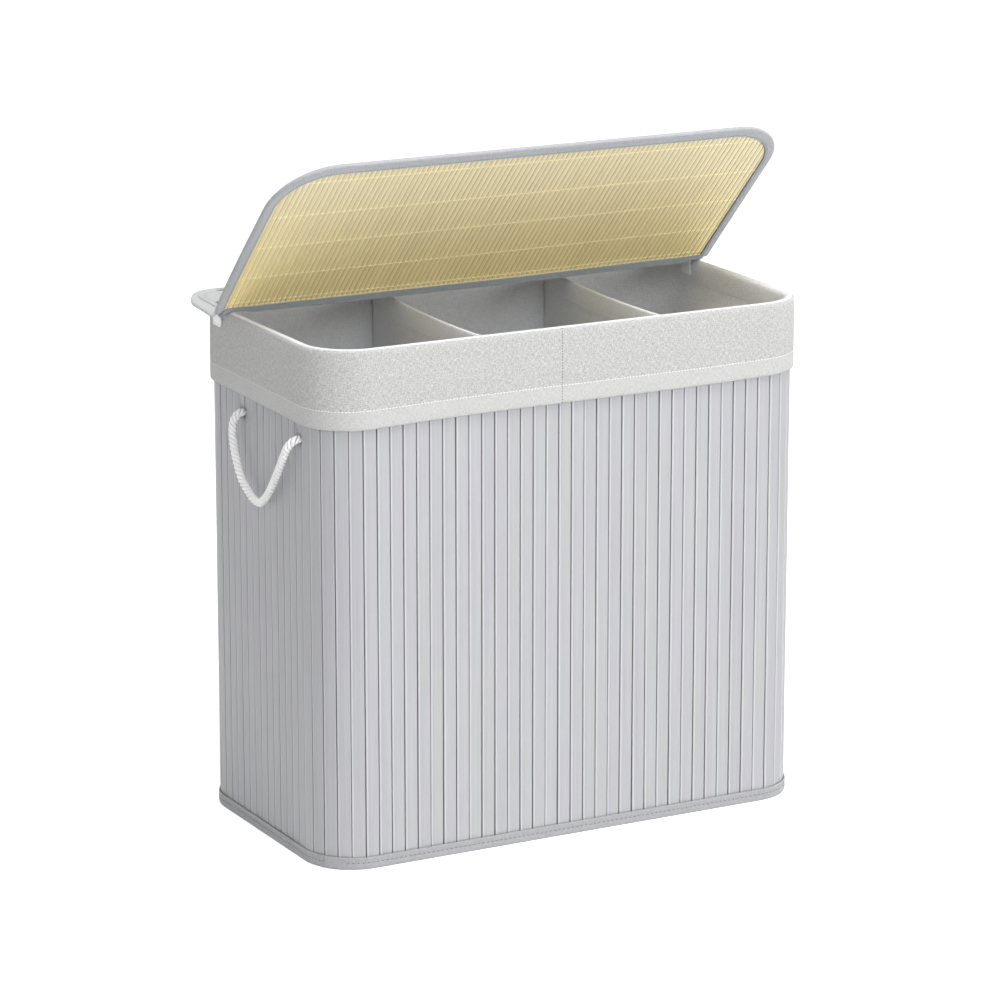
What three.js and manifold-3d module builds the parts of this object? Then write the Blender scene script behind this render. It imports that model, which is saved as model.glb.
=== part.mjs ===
// Folding slat-walled laundry hamper with a lift-out cloth liner, three
// compartments, a two-panel lid and two rope handles.
// Millimetres, +Z up. X runs along the wide front, Y from front to back, and
// the origin is the middle of the underside. The lid's front panel stands open.

import * as THREE from 'three';
import { mergeVertices } from 'three/addons/utils/BufferGeometryUtils.js';
import Module from 'manifold-3d';

const wasm = await Module();
wasm.setup();

// ---------------------------------------------------------------- dimensions

// Basket, over the outer faces of its slats
const bodyWidth = 660;
const bodyDepth = 355;
const bodyHeight = 635;
const cornerRadius = 62;

// Slats
const slatPitch = 17.35;
const slatThickness = 2.4;
const slatGap = 1.2;
const slatBevel = 0.8;
const slatWeb = 0.8;
const slatPhase = 5.5;

// Cloths, tapes and strips that line and bind the slats
const backingThickness = 0.8;
const rimStripThickness = 1.2;
const rimStripHeight = 10;
const rimBindingThickness = 0.8;
const rimBindingHeight = 21;
const hemThickness = 1.2;
const hemHeight = 16;
const baseClothThickness = 1;
const baseBoardThickness = 4;
const hookTapeThickness = 2;
const hookTapeHeight = 25;
const hookTapeMargin = 4;
const hookTapeShare = 0.7;

// Liner, its fold-over cuff and its dividers
const linerThickness = 1.4;
const cuffHeight = 91;
const cuffSeamShift = -18.5;
const linerFlareRise = 60;
const dividerSpacing = 244;
const dividerShift = 16.5;
const dividerThickness = 1.4;
const dividerDrop = 5;
const dividerHemThickness = 2.8;
const dividerHemHeight = 30;

// Lid
const lidSideOverhang = 14.4;
const lidFrontOverhang = 22;
const lidRearOverhang = 7;
const lidShift = -6.9;
const lidThickness = 6;
const lidFrontRadius = 77;
const lidRearRadius = 48;
const lidOpenAngle = 44.7;
const lidBindingWidth = 12;
const lidBindingThickness = 1.2;
const lidBindingCreaseWidth = 4;
const lidSlatPitch = 6.9;
const lidSlatGap = 1.1;
const lidSlatGroove = 0.9;
const creaseGap = 1.5;
const creaseTapeWidth = 20;
const creaseTapeThickness = 0.8;

// Lid clips
const clipWidth = 22;
const clipThickness = 2.4;
const clipDrop = 20;
const clipCornerGap = 0.5;
const clipSetback = 19;

// Rope handles
const ropeDiameter = 10.2;
const ropeHoleDrop = 115.5;
const ropeHoleFrontInset = 68;
const ropeHoleBackInset = 132;
const ropeRouteSpan = 155;
const ropeStubLength = 3;
const knotDiameter = 20;
const knotLength = 15;

// Clearances
const fitGap = 0.3;
const slipGap = 0.6;
const ropeHoleGap = 0.9;
const knotGap = 1.2;
const flareGap = 15.5;

// Facets
const cornerSteps = 8;
const ropeSides = 8;
const ropeSteps = 44;

// ---------------------------------------------------------- derived positions

const QUARTER = Math.PI / 2;
const EIGHTH = Math.PI / 4;
const ropeRadius = ropeDiameter / 2;

// Offsets from the slats' outer face, outwards positive. A flat slat's edges
// stand proud of the round corners, and the bindings pass outside them.
const backingOuter = -slatThickness - fitGap;
const backingInner = backingOuter - backingThickness;
const stripOuter = backingInner - fitGap;
const stripInner = stripOuter - rimStripThickness;
const rimLegInner = stripInner - fitGap - rimBindingThickness;
const linerOuter = rimLegInner - slipGap;
const linerInner = linerOuter - linerThickness;
const slatProud = (slatPitch * slatPitch) / (8 * cornerRadius);
const bindingOffset = fitGap + slatProud;
const bandOuter = Math.max(fitGap + hookTapeThickness, bindingOffset + rimBindingThickness);
const cuffInner = bandOuter + fitGap;
const cuffOuter = cuffInner + linerThickness;
const hemInner = backingInner - fitGap - hemThickness;
const baseOffset = hemInner - fitGap;

// Heights
const cuffUnderTop = bodyHeight - linerThickness;
const rimBindingTop = cuffUnderTop - fitGap;
const slatTop = rimBindingTop - rimBindingThickness - fitGap;
const slatBottom = baseClothThickness + fitGap;
const boardBottom = baseClothThickness + fitGap;
const boardTop = boardBottom + baseBoardThickness;
const linerBottom = boardTop + fitGap;
const linerFloorTop = linerBottom + linerThickness;
const clipTop = bodyHeight + fitGap + clipThickness;
const lidBottom = clipTop + fitGap;
const lidTop = lidBottom + lidThickness;
const hingeZ = lidTop + fitGap + creaseTapeThickness / 2;
const lidMatBottom = lidBindingThickness + fitGap;
const lidMatTop = lidThickness - lidBindingThickness - fitGap;

// The body's outline, and the narrower bag below the rope knots
const body = { halfX: bodyWidth / 2, halfY: bodyDepth / 2, radius: cornerRadius };
const knotInnerEnd = backingInner - fitGap - knotLength;
const bag = {
  halfX: bodyWidth / 2 + knotInnerEnd - knotGap,
  halfY: bodyDepth / 2 + linerOuter,
  radius: cornerRadius + linerOuter,
};
const bagFlare = (bodyWidth / 2 + linerOuter) / bag.halfX;

// The clips stand just in front of the rear corners' bend, and the crease runs
// in front of the clips
const clipY = bodyDepth / 2 - cornerRadius - clipCornerGap - clipWidth / 2;
const creaseY = clipY - clipSetback;
const lidWidth = bodyWidth + 2 * lidSideOverhang;
const lidFrontLength = creaseY + bodyDepth / 2 + lidFrontOverhang;
const lidRearLength = bodyDepth / 2 + lidRearOverhang - creaseY;

// A handle's rope from its back hole to its front hole, as distances out from
// its pivot, along Y from the back hole, and down from the holes. The distances
// along Y are for holes one route span apart, and stretch with the holes.
const ropeHoleHeight = bodyHeight - ropeHoleDrop;
const ropeHoleBackY = bodyDepth / 2 - ropeHoleBackInset;
const ropeHoleFrontY = ropeHoleFrontInset - bodyDepth / 2;
const ropePivotOut = ropeStubLength + ropeRadius + fitGap;
const ropeRoute = [
  [0, 0, 0],
  [4.5, 0.5, 9.5],
  [6.3, 0.5, 24],
  [7, -4, 38],
  [7, -9.5, 52],
  [6.6, -17, 66],
  [6, -25.5, 77.5],
  [5, -36, 86],
  [4.2, -47, 92.5],
  [3.4, -58.5, 96],
  [3, -69.5, 95],
  [3.2, -80.5, 88.5],
  [3.6, -92.5, 78.5],
  [4.1, -105, 66],
  [4.6, -117, 52],
  [5, -129, 37],
  [5, -140, 22],
  [4, -149.5, 9],
  [0, -155, 0],
];

// ------------------------------------------------------------------ materials

const slatPaint = { color: 0xc9cace, roughness: 0.55, metalness: 0 };
const bambooRaw = { color: 0xd9c68c, roughness: 0.6, metalness: 0 };
const linerCloth = { color: 0xdededc, roughness: 0.95, metalness: 0 };
const greyTape = { color: 0xa9adb0, roughness: 0.9, metalness: 0 };
const backingCloth = { color: 0xb9b9b9, roughness: 0.95, metalness: 0 };
const springSteel = { color: 0x8d9094, roughness: 0.35, metalness: 1 };
const board = { color: 0xa98f6b, roughness: 0.8, metalness: 0 };
const hookTape = { color: 0xe6e6e4, roughness: 0.9, metalness: 0 };
const clipPlastic = { color: 0xe9ebea, roughness: 0.35, metalness: 0 };
const ropeCotton = { color: 0xf4f4f2, roughness: 0.9, metalness: 0 };

// ------------------------------------------------------------------- solids

function toSolid(geometry) {
  const bare = geometry.clone();
  bare.deleteAttribute('normal');
  bare.deleteAttribute('uv');
  const merged = mergeVertices(bare, 1e-4);
  const mesh = new wasm.Mesh({
    numProp: 3,
    vertProperties: new Float32Array(merged.attributes.position.array),
    triVerts: new Uint32Array(merged.index.array),
  });
  return new wasm.Manifold(mesh);
}

function toGeometry(solid) {
  const mesh = solid.getMesh();
  const geometry = new THREE.BufferGeometry();
  geometry.setAttribute('position', new THREE.BufferAttribute(mesh.vertProperties, 3));
  geometry.setIndex(new THREE.BufferAttribute(mesh.triVerts, 1));
  geometry.computeVertexNormals();
  return geometry;
}

function cut(base, ...tools) {
  let solid = toSolid(base);
  for (const tool of tools) solid = solid.subtract(toSolid(tool));
  return toGeometry(solid);
}

function extrude(shape, low, high) {
  const geometry = new THREE.ExtrudeGeometry(shape, { depth: high - low, bevelEnabled: false });
  return geometry.translate(0, 0, low);
}

function piece(parent, name, geometry, finish) {
  const mesh = new THREE.Mesh(geometry, new THREE.MeshStandardMaterial(finish));
  mesh.name = name;
  parent.add(mesh);
  return mesh;
}

// ------------------------------------------------------------------ outlines

const cornerSigns = [[-1, -1], [1, -1], [1, 1], [-1, 1]];
const sideNames = ['front', 'right', 'back', 'left'];
const cornerNames = ['front_left', 'front_right', 'back_right', 'back_left'];

// Side k faces along its normal, with corner k before it and corner k + 1
// after it, going anticlockwise seen from above.
function sideNormal(k) {
  return (k - 1) * QUARTER;
}

function cornerPoint(frame, k, offset, angle) {
  const [signX, signY] = cornerSigns[k % 4];
  const radius = frame.radius + offset;
  return new THREE.Vector2(
    signX * (frame.halfX - frame.radius) + radius * Math.cos(angle),
    signY * (frame.halfY - frame.radius) + radius * Math.sin(angle),
  );
}

function cornerArc(frame, k, offset, from, to) {
  const steps = Math.round((cornerSteps * (to - from)) / QUARTER);
  const points = [];
  for (let i = 0; i <= steps; i += 1) {
    points.push(cornerPoint(frame, k, offset, from + ((to - from) * i) / steps));
  }
  return points;
}

function outline(frame, offset) {
  const points = [];
  for (let k = 0; k < 4; k += 1) {
    points.push(...cornerArc(frame, k, offset, sideNormal(k) - QUARTER, sideNormal(k)));
  }
  return points;
}

function ring(frame, inner, outer, low, high) {
  const shape = new THREE.Shape(outline(frame, outer));
  shape.holes.push(new THREE.Path(outline(frame, inner).reverse()));
  return extrude(shape, low, high);
}

function plate(frame, offset, low, high) {
  return extrude(new THREE.Shape(outline(frame, offset)), low, high);
}

function band(outerLine, innerLine) {
  return new THREE.Shape([...outerLine, ...innerLine.slice().reverse()]);
}

// One side with half of each of its corners, so that four of them close a bag
function sideLine(frame, k, offset) {
  const normal = sideNormal(k);
  const trim = fitGap / 2 / frame.radius;
  return [
    ...cornerArc(frame, k, offset, normal - EIGHTH + trim, normal),
    ...cornerArc(frame, k + 1, offset, normal, normal + EIGHTH - trim),
  ];
}

// The left or right half of the outline, parted at the cuff's seams in front and back
function halfLine(frame, sign, offset) {
  const seam = cuffSeamShift + (sign * fitGap) / 2;
  const reach = frame.halfY + offset;
  const [first, start] = sign > 0 ? [1, -QUARTER] : [3, QUARTER];
  return [
    new THREE.Vector2(seam, -sign * reach),
    ...cornerArc(frame, first, offset, start, start + QUARTER),
    ...cornerArc(frame, first + 1, offset, start + QUARTER, start + 2 * QUARTER),
    new THREE.Vector2(seam, sign * reach),
  ];
}

// --------------------------------------------------------------- slat panels

const flatX = bodyWidth - 2 * cornerRadius;
const flatY = bodyDepth - 2 * cornerRadius;
const bend = QUARTER * cornerRadius;
const perimeter = 2 * (flatX + flatY) + 4 * bend;
const slatCount = Math.round(perimeter / slatPitch);
const slatStep = perimeter / slatCount;

// The stretches of the outline, from the front's left end anticlockwise
const stretches = [];
for (let k = 0; k < 4; k += 1) {
  stretches.push({ wall: true, k, length: k % 2 === 0 ? flatX : flatY });
  stretches.push({ wall: false, k: (k + 1) % 4, length: bend });
}

function locate(distance) {
  let rest = ((distance % perimeter) + perimeter) % perimeter;
  let index = 0;
  while (rest > stretches[index].length) {
    rest -= stretches[index].length;
    index += 1;
  }
  return { index, rest };
}

// The outline's point at a distance round it, and the way that it faces there
function outlinePlace(distance) {
  const { index, rest } = locate(distance);
  const { wall, k } = stretches[index];
  if (!wall) {
    const facing = sideNormal(k) - QUARTER + rest / cornerRadius;
    return { point: cornerPoint(body, k, 0, facing), facing };
  }
  const facing = sideNormal(k);
  const point = cornerPoint(body, k, 0, facing);
  point.x -= rest * Math.sin(facing);
  point.y += rest * Math.cos(facing);
  return { point, facing };
}

// Each slat is flat and touches the outline at its own middle. Places on it
// are given along it from its start, and inwards from its face.
function slatPlaces(index) {
  const { point, facing } = outlinePlace(flatX / 2 + slatPhase + index * slatStep);
  const along = new THREE.Vector2(-Math.sin(facing), Math.cos(facing));
  const inward = new THREE.Vector2(-Math.cos(facing), -Math.sin(facing));
  return (u, d) => point.clone().addScaledVector(along, u - slatStep / 2).addScaledVector(inward, d);
}

function slatPanelShape(indices) {
  const face = [];
  const back = [];
  const low = slatGap / 2;
  const high = slatStep - slatGap / 2;
  const groove = slatThickness - slatWeb;
  indices.forEach((index, order) => {
    const at = slatPlaces(index);
    if (order > 0) face.push(at(low, groove));
    face.push(at(low, slatBevel), at(low + slatBevel, 0), at(high - slatBevel, 0), at(high, slatBevel));
    if (order < indices.length - 1) face.push(at(high, groove));
    if (order === 0) back.push(at(low, slatThickness));
    back.push(at(order < indices.length - 1 ? slatStep : high, slatThickness));
  });
  return band(face, back);
}

function slatGroups() {
  const groups = stretches.map(() => []);
  for (let i = 0; i < slatCount; i += 1) {
    groups[locate(flatX / 2 + slatPhase + i * slatStep).index].push(i);
  }
  // the front's group starts left of its middle, so its numbers wrap round
  const front = groups[0];
  const wrap = front.findIndex((value, order) => order > 0 && value - front[order - 1] > 1);
  if (wrap > 0) groups[0] = [...front.slice(wrap), ...front.slice(0, wrap)];
  return groups;
}

// The rope holes go through both short walls
function ropeHoleTools() {
  const radius = ropeRadius + ropeHoleGap;
  return [ropeHoleBackY, ropeHoleFrontY].map((y) => {
    const tool = new THREE.CylinderGeometry(radius, radius, 2 * bodyWidth, 16);
    return tool.rotateZ(QUARTER).translate(0, y, ropeHoleHeight);
  });
}

function addSlats(parent) {
  slatGroups().forEach((indices, index) => {
    const { wall, k } = stretches[index];
    const geometry = cut(extrude(slatPanelShape(indices), slatBottom, slatTop), ...ropeHoleTools());
    const name = wall ? `slat_wall_${sideNames[k]}` : `slat_corner_${cornerNames[k]}`;
    piece(parent, name, geometry, slatPaint);
  });
}

// --------------------------------------------------------------- basket parts

function addWallCloths(parent) {
  const backing = ring(body, backingInner, backingOuter, slatBottom, slatTop);
  piece(parent, 'wall_backing_cloth', cut(backing, ...ropeHoleTools()), backingCloth);

  const rimTop = rimBindingTop;
  const rimLow = rimTop - rimBindingHeight;
  const rimBlock = ring(body, rimLegInner, bindingOffset + rimBindingThickness, rimLow, rimTop);
  const rimChannel = ring(body, stripInner - fitGap, bindingOffset, rimLow - 1, rimTop - rimBindingThickness);
  piece(parent, 'rim_binding', cut(rimBlock, rimChannel), greyTape);

  const hemBlock = ring(body, hemInner, bindingOffset + hemThickness, 0, hemHeight);
  const hemChannel = ring(body, hemInner + hemThickness, bindingOffset, baseClothThickness, hemHeight + 1);
  piece(parent, 'hem_binding', cut(hemBlock, hemChannel), greyTape);
}

// Two half hoops of strip steel hold the rim straight and part at the middle
// of the short sides, where the basket folds
function addRimStrips(parent) {
  for (const [name, sign] of [['rim_strip_front', -1], ['rim_strip_back', 1]]) {
    const hoop = ring(body, stripInner, stripOuter, slatTop - rimStripHeight, slatTop);
    const span = 2 * bodyWidth;
    const away = new THREE.BoxGeometry(span, span, span).translate(0, -sign * (span / 2 - fitGap), 0);
    away.translate(0, 0, slatTop);
    piece(parent, name, cut(hoop, away), springSteel);
  }
}

function addBase(parent) {
  piece(parent, 'base_cloth', plate(body, baseOffset, 0, baseClothThickness), greyTape);
  piece(parent, 'base_board', plate(body, baseOffset, boardBottom, boardTop), board);
}

function addHookTapes(parent) {
  const middle = bodyHeight - cuffHeight + hookTapeMargin + hookTapeHeight / 2;
  for (let k = 0; k < 4; k += 1) {
    const alongX = k % 2 === 0;
    const length = (alongX ? flatX : flatY) * hookTapeShare;
    const reach = (alongX ? bodyDepth : bodyWidth) / 2 + fitGap + hookTapeThickness / 2;
    const tape = new THREE.BoxGeometry(length, hookTapeThickness, hookTapeHeight);
    const mesh = piece(parent, `hook_tape_${sideNames[k]}`, tape, hookTape);
    const normal = sideNormal(k);
    mesh.position.set(reach * Math.cos(normal), reach * Math.sin(normal), middle);
    mesh.rotation.z = normal + QUARTER;
  }
}

// ------------------------------------------------------------------- handles

// The rope's end inside the wall: a stub through the hole and a knot behind it
function knotGeometry(sign, y) {
  const wallX = bodyWidth / 2;
  const knotX = wallX + backingInner - fitGap - knotLength / 2;
  const knot = new THREE.SphereGeometry(knotDiameter / 2, 12, 8);
  knot.scale(knotLength / knotDiameter, 1, 1).translate(knotX, 0, 0);
  const stubLength = wallX + ropeStubLength - knotX;
  const stub = new THREE.CylinderGeometry(ropeRadius, ropeRadius, stubLength, 12);
  stub.rotateZ(QUARTER).translate(knotX + stubLength / 2, 0, 0);
  const solid = toGeometry(toSolid(knot).add(toSolid(stub)));
  if (sign < 0) solid.rotateZ(Math.PI);
  return solid.translate(0, y, ropeHoleHeight);
}

function ropeGeometry(sign) {
  const pivotX = bodyWidth / 2 + ropePivotOut;
  const stretch = (ropeHoleBackY - ropeHoleFrontY) / ropeRouteSpan;
  const points = ropeRoute.map(([out, along, down]) => (
    new THREE.Vector3(sign * (pivotX + out), ropeHoleBackY + along * stretch, ropeHoleHeight - down)
  ));
  const section = [];
  for (let i = 0; i < ropeSides; i += 1) {
    const angle = (2 * Math.PI * i) / ropeSides;
    section.push(new THREE.Vector2(ropeRadius * Math.cos(angle), ropeRadius * Math.sin(angle)));
  }
  const path = new THREE.CatmullRomCurve3(points, false, 'centripetal');
  return new THREE.ExtrudeGeometry(new THREE.Shape(section), { steps: ropeSteps, extrudePath: path });
}

function addHandles(parent) {
  for (const [side, sign] of [['left', -1], ['right', 1]]) {
    piece(parent, `rope_knot_${side}_back`, knotGeometry(sign, ropeHoleBackY), ropeCotton);
    piece(parent, `rope_knot_${side}_front`, knotGeometry(sign, ropeHoleFrontY), ropeCotton);
    piece(parent, `rope_handle_${side}`, ropeGeometry(sign), ropeCotton);
  }
}

// --------------------------------------------------------------------- liner

// The bag is narrow up to the rope knots, then flares sideways to the rim
const linerTop = cuffUnderTop - fitGap;
const linerFlareStart = ropeHoleHeight + knotDiameter / 2 + flareGap;
const linerFlareEnd = linerFlareStart + linerFlareRise;
const flareLevels = [linerBottom, linerFlareStart];
for (const share of [0.25, 0.5, 0.75, 1]) {
  flareLevels.push(linerFlareStart + share * (linerFlareEnd - linerFlareStart));
}
flareLevels.push(linerTop);

function flaredWall(shape) {
  const steps = flareLevels.length - 1;
  const geometry = new THREE.ExtrudeGeometry(shape, { depth: steps, steps, bevelEnabled: false });
  const position = geometry.attributes.position;
  for (let i = 0; i < position.count; i += 1) {
    const z = flareLevels[Math.round(position.getZ(i))];
    const t = THREE.MathUtils.smoothstep(z, linerFlareStart, linerFlareEnd);
    position.setX(i, position.getX(i) * (1 + t * (bagFlare - 1)));
    position.setZ(i, z);
  }
  return geometry;
}

function addLinerBag(parent) {
  for (let k = 0; k < 4; k += 1) {
    const shape = band(sideLine(bag, k, 0), sideLine(bag, k, -linerThickness));
    piece(parent, `liner_wall_${sideNames[k]}`, flaredWall(shape), linerCloth);
  }
  const floor = plate(bag, -linerThickness - fitGap, linerBottom, linerFloorTop);
  piece(parent, 'liner_floor', floor, linerCloth);
}

function dividerGeometry() {
  const web = dividerThickness / 2;
  const hem = dividerHemThickness / 2;
  const top = bodyHeight - dividerDrop;
  const hemLow = top - dividerHemHeight;
  const shape = new THREE.Shape([
    new THREE.Vector2(-web, linerFloorTop + fitGap),
    new THREE.Vector2(web, linerFloorTop + fitGap),
    new THREE.Vector2(web, hemLow),
    new THREE.Vector2(hem, hemLow + hem),
    new THREE.Vector2(hem, top),
    new THREE.Vector2(-hem, top),
    new THREE.Vector2(-hem, hemLow + hem),
    new THREE.Vector2(-web, hemLow),
  ]);
  const reach = bag.halfY - linerThickness - fitGap;
  return extrude(shape, -reach, reach).rotateX(QUARTER);
}

function addDividers(parent) {
  for (const [side, sign] of [['left', -1], ['right', 1]]) {
    const mesh = piece(parent, `divider_${side}`, dividerGeometry(), linerCloth);
    mesh.position.x = dividerShift + (sign * dividerSpacing) / 2;
  }
}

// The liner's top turns outwards over the rim and hangs down as a cuff, made
// of two halves seamed near the middle of front and back
function addCuff(parent) {
  const low = bodyHeight - cuffHeight;
  const channel = ring(body, linerInner - 1, cuffInner, low - 1, cuffUnderTop);
  for (const [side, sign] of [['left', -1], ['right', 1]]) {
    const shape = band(halfLine(body, sign, cuffOuter), halfLine(body, sign, linerInner));
    piece(parent, `cuff_${side}`, cut(extrude(shape, low, bodyHeight), channel), linerCloth);
  }
}

// ----------------------------------------------------------------------- lid

// A panel's outline, with its crease edge near y = 0 and its far edge towards
// sign * Y, both far corners rounded
function panelShape(sign, length, radius, inset, creaseInset) {
  const halfX = lidWidth / 2 - inset;
  const near = sign * (creaseGap + creaseInset);
  const bow = radius - inset;
  const turnY = sign * (length - radius);
  const points = [new THREE.Vector2(halfX, near)];
  for (let i = 0; i <= cornerSteps; i += 1) {
    const angle = (QUARTER * i) / cornerSteps;
    points.push(new THREE.Vector2(halfX - bow + bow * Math.cos(angle), turnY + sign * bow * Math.sin(angle)));
  }
  for (let i = cornerSteps; i >= 0; i -= 1) {
    const angle = (QUARTER * i) / cornerSteps;
    points.push(new THREE.Vector2(bow - halfX - bow * Math.cos(angle), turnY + sign * bow * Math.sin(angle)));
  }
  points.push(new THREE.Vector2(-halfX, near));
  return new THREE.Shape(points);
}

function lidBindingGeometry(sign, length, radius) {
  const tape = lidBindingThickness;
  const block = extrude(panelShape(sign, length, radius, 0, 0), 0, lidThickness);
  const pocket = extrude(panelShape(sign, length, radius, tape, tape), tape, lidThickness - tape);
  const windowShape = panelShape(sign, length, radius, lidBindingWidth, lidBindingCreaseWidth);
  return cut(block, pocket, extrude(windowShape, -1, lidThickness + 1));
}

// The mat's thin slats run from front to back, with grooves on the underside
function lidMatGeometry(sign, length, radius) {
  const inset = lidBindingThickness + fitGap;
  const edge = lidWidth / 2 - inset;
  const slats = Math.round((2 * edge) / lidSlatPitch);
  const pitch = (2 * edge) / slats;
  const points = [new THREE.Vector2(-edge, lidMatTop), new THREE.Vector2(-edge, lidMatBottom)];
  for (let i = 1; i < slats; i += 1) {
    const x = i * pitch - edge;
    const half = lidSlatGap / 2;
    points.push(new THREE.Vector2(x - half, lidMatBottom));
    points.push(new THREE.Vector2(x, lidMatBottom + lidSlatGroove));
    points.push(new THREE.Vector2(x + half, lidMatBottom));
  }
  points.push(new THREE.Vector2(edge, lidMatBottom), new THREE.Vector2(edge, lidMatTop));
  const slatted = extrude(new THREE.Shape(points), -length, length).rotateX(QUARTER);
  const trimmer = extrude(panelShape(sign, length, radius, inset, inset), 0, lidThickness);
  return toGeometry(toSolid(slatted).intersect(toSolid(trimmer)));
}

function addLidPanel(parent, name, sign, length, radius) {
  piece(parent, `lid_${name}_mat`, lidMatGeometry(sign, length, radius), bambooRaw);
  piece(parent, `lid_${name}_binding`, lidBindingGeometry(sign, length, radius), greyTape);
}

// A cloth tape along the outer face joins the two panels at the crease
function addCreaseTape(parent) {
  const length = lidWidth - 2 * lidBindingWidth;
  const tape = new THREE.BoxGeometry(length, creaseTapeWidth, creaseTapeThickness);
  const mesh = piece(parent, 'lid_crease_tape', tape, greyTape);
  mesh.position.set(0, creaseGap + creaseTapeWidth / 2, lidThickness + fitGap + creaseTapeThickness / 2);
}

// A U-shaped clip at each end of the crease straddles the side wall's rim
function addClips(parent) {
  const wallX = bodyWidth / 2;
  const outside = wallX + cuffOuter + slipGap;
  const inside = wallX + linerInner - slipGap;
  const low = bodyHeight - clipDrop;
  const roof = bodyHeight + fitGap;
  const shape = new THREE.Shape([
    new THREE.Vector2(inside - clipThickness, low),
    new THREE.Vector2(inside, low),
    new THREE.Vector2(inside, roof),
    new THREE.Vector2(outside, roof),
    new THREE.Vector2(outside, low),
    new THREE.Vector2(outside + clipThickness, low),
    new THREE.Vector2(outside + clipThickness, clipTop),
    new THREE.Vector2(inside - clipThickness, clipTop),
  ]);
  for (const [side, sign] of [['left', -1], ['right', 1]]) {
    const geometry = extrude(shape, -clipWidth / 2, clipWidth / 2).rotateX(QUARTER);
    if (sign < 0) geometry.rotateZ(Math.PI);
    piece(parent, `lid_clip_${side}`, geometry.translate(0, clipY, 0), clipPlastic);
  }
}

function addLid(parent) {
  const rear = new THREE.Group();
  rear.position.set(lidShift, creaseY, lidBottom);
  addLidPanel(rear, 'rear', 1, lidRearLength, lidRearRadius);
  addCreaseTape(rear);
  parent.add(rear);

  const front = new THREE.Group();
  front.position.set(lidShift, creaseY, hingeZ);
  front.rotation.x = -THREE.MathUtils.degToRad(lidOpenAngle);
  const hanging = new THREE.Group();
  hanging.position.z = lidBottom - hingeZ;
  addLidPanel(hanging, 'front', -1, lidFrontLength, lidFrontRadius);
  front.add(hanging);
  parent.add(front);

  addClips(parent);
}

// ------------------------------------------------------------------ assembly

const hamper = new THREE.Group();
addSlats(hamper);
addWallCloths(hamper);
addRimStrips(hamper);
addBase(hamper);
addHookTapes(hamper);
addHandles(hamper);
addLinerBag(hamper);
addDividers(hamper);
addCuff(hamper);
addLid(hamper);

export default hamper;
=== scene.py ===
"""Looks of a folding laundry hamper: painted bamboo slats on a cloth backing, a lift-out
cloth liner with a turned-over cuff and two dividers, a creased lid of woven bamboo strips
in grey tape, and twisted rope handles."""
import math

import bpy
import numpy as np
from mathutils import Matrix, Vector


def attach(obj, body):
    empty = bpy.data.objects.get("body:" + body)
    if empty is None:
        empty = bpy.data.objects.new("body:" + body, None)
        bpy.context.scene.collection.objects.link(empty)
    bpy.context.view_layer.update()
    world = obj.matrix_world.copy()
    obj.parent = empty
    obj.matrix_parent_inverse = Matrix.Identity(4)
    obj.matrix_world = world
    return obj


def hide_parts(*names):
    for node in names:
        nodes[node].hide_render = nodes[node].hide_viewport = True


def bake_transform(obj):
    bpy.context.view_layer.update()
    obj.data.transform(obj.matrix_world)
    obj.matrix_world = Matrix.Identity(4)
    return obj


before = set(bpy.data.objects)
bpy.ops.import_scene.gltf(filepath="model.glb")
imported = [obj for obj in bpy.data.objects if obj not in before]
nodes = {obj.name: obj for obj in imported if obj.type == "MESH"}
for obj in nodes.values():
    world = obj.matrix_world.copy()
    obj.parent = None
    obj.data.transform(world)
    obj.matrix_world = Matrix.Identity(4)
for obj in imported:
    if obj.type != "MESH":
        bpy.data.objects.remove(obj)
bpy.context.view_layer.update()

chance = np.random.default_rng(11)
TURN = 2 * math.pi

# ------------------------------------------------------------------ the camera

scene = bpy.context.scene
scene.view_settings.view_transform = "Standard"


def placed(name, data):
    """A new object in the scene, at the origin."""
    made = bpy.data.objects.new(name, data)
    scene.collection.objects.link(made)
    return made


eye = bpy.data.cameras.new("camera")
eye.lens, eye.sensor_width = 158.44, 36
eye.clip_start, eye.clip_end = 0.1, 200
camera = placed("camera", eye)
camera.location = (-2.49357, -4.63232, 1.74489)
camera.rotation_euler = (math.radians(75.46), 0, math.radians(-28.25))
scene.camera = camera


# ------------------------------------------------------------- nodes and sums

class Value:
    """What a socket gives. Sums on it add Math nodes to its tree."""

    def __init__(self, graph, socket):
        self.graph, self.socket = graph, socket

    def __add__(self, other):
        return self.graph.math("ADD", self, other)

    def __sub__(self, other):
        return self.graph.math("SUBTRACT", self, other)

    def __rsub__(self, other):
        return self.graph.math("SUBTRACT", other, self)

    def __mul__(self, other):
        return self.graph.math("MULTIPLY", self, other)

    def __abs__(self):
        return self.graph.math("ABSOLUTE", self)

    __radd__ = __add__
    __rmul__ = __mul__

    def wave(self, period):
        return self.graph.math("SINE", self * (TURN / period))

    def rise(self, low, high):
        """0 below low, 1 above high, and smooth between them."""
        reach = {"Value": self, "From Min": low, "From Max": high}
        return self.graph.node("ShaderNodeMapRange", {"interpolation_type": "SMOOTHSTEP"}, reach)

    def beside(self, label):
        """Another output of the same node."""
        return Value(self.graph, self.socket.node.outputs[label])


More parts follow.
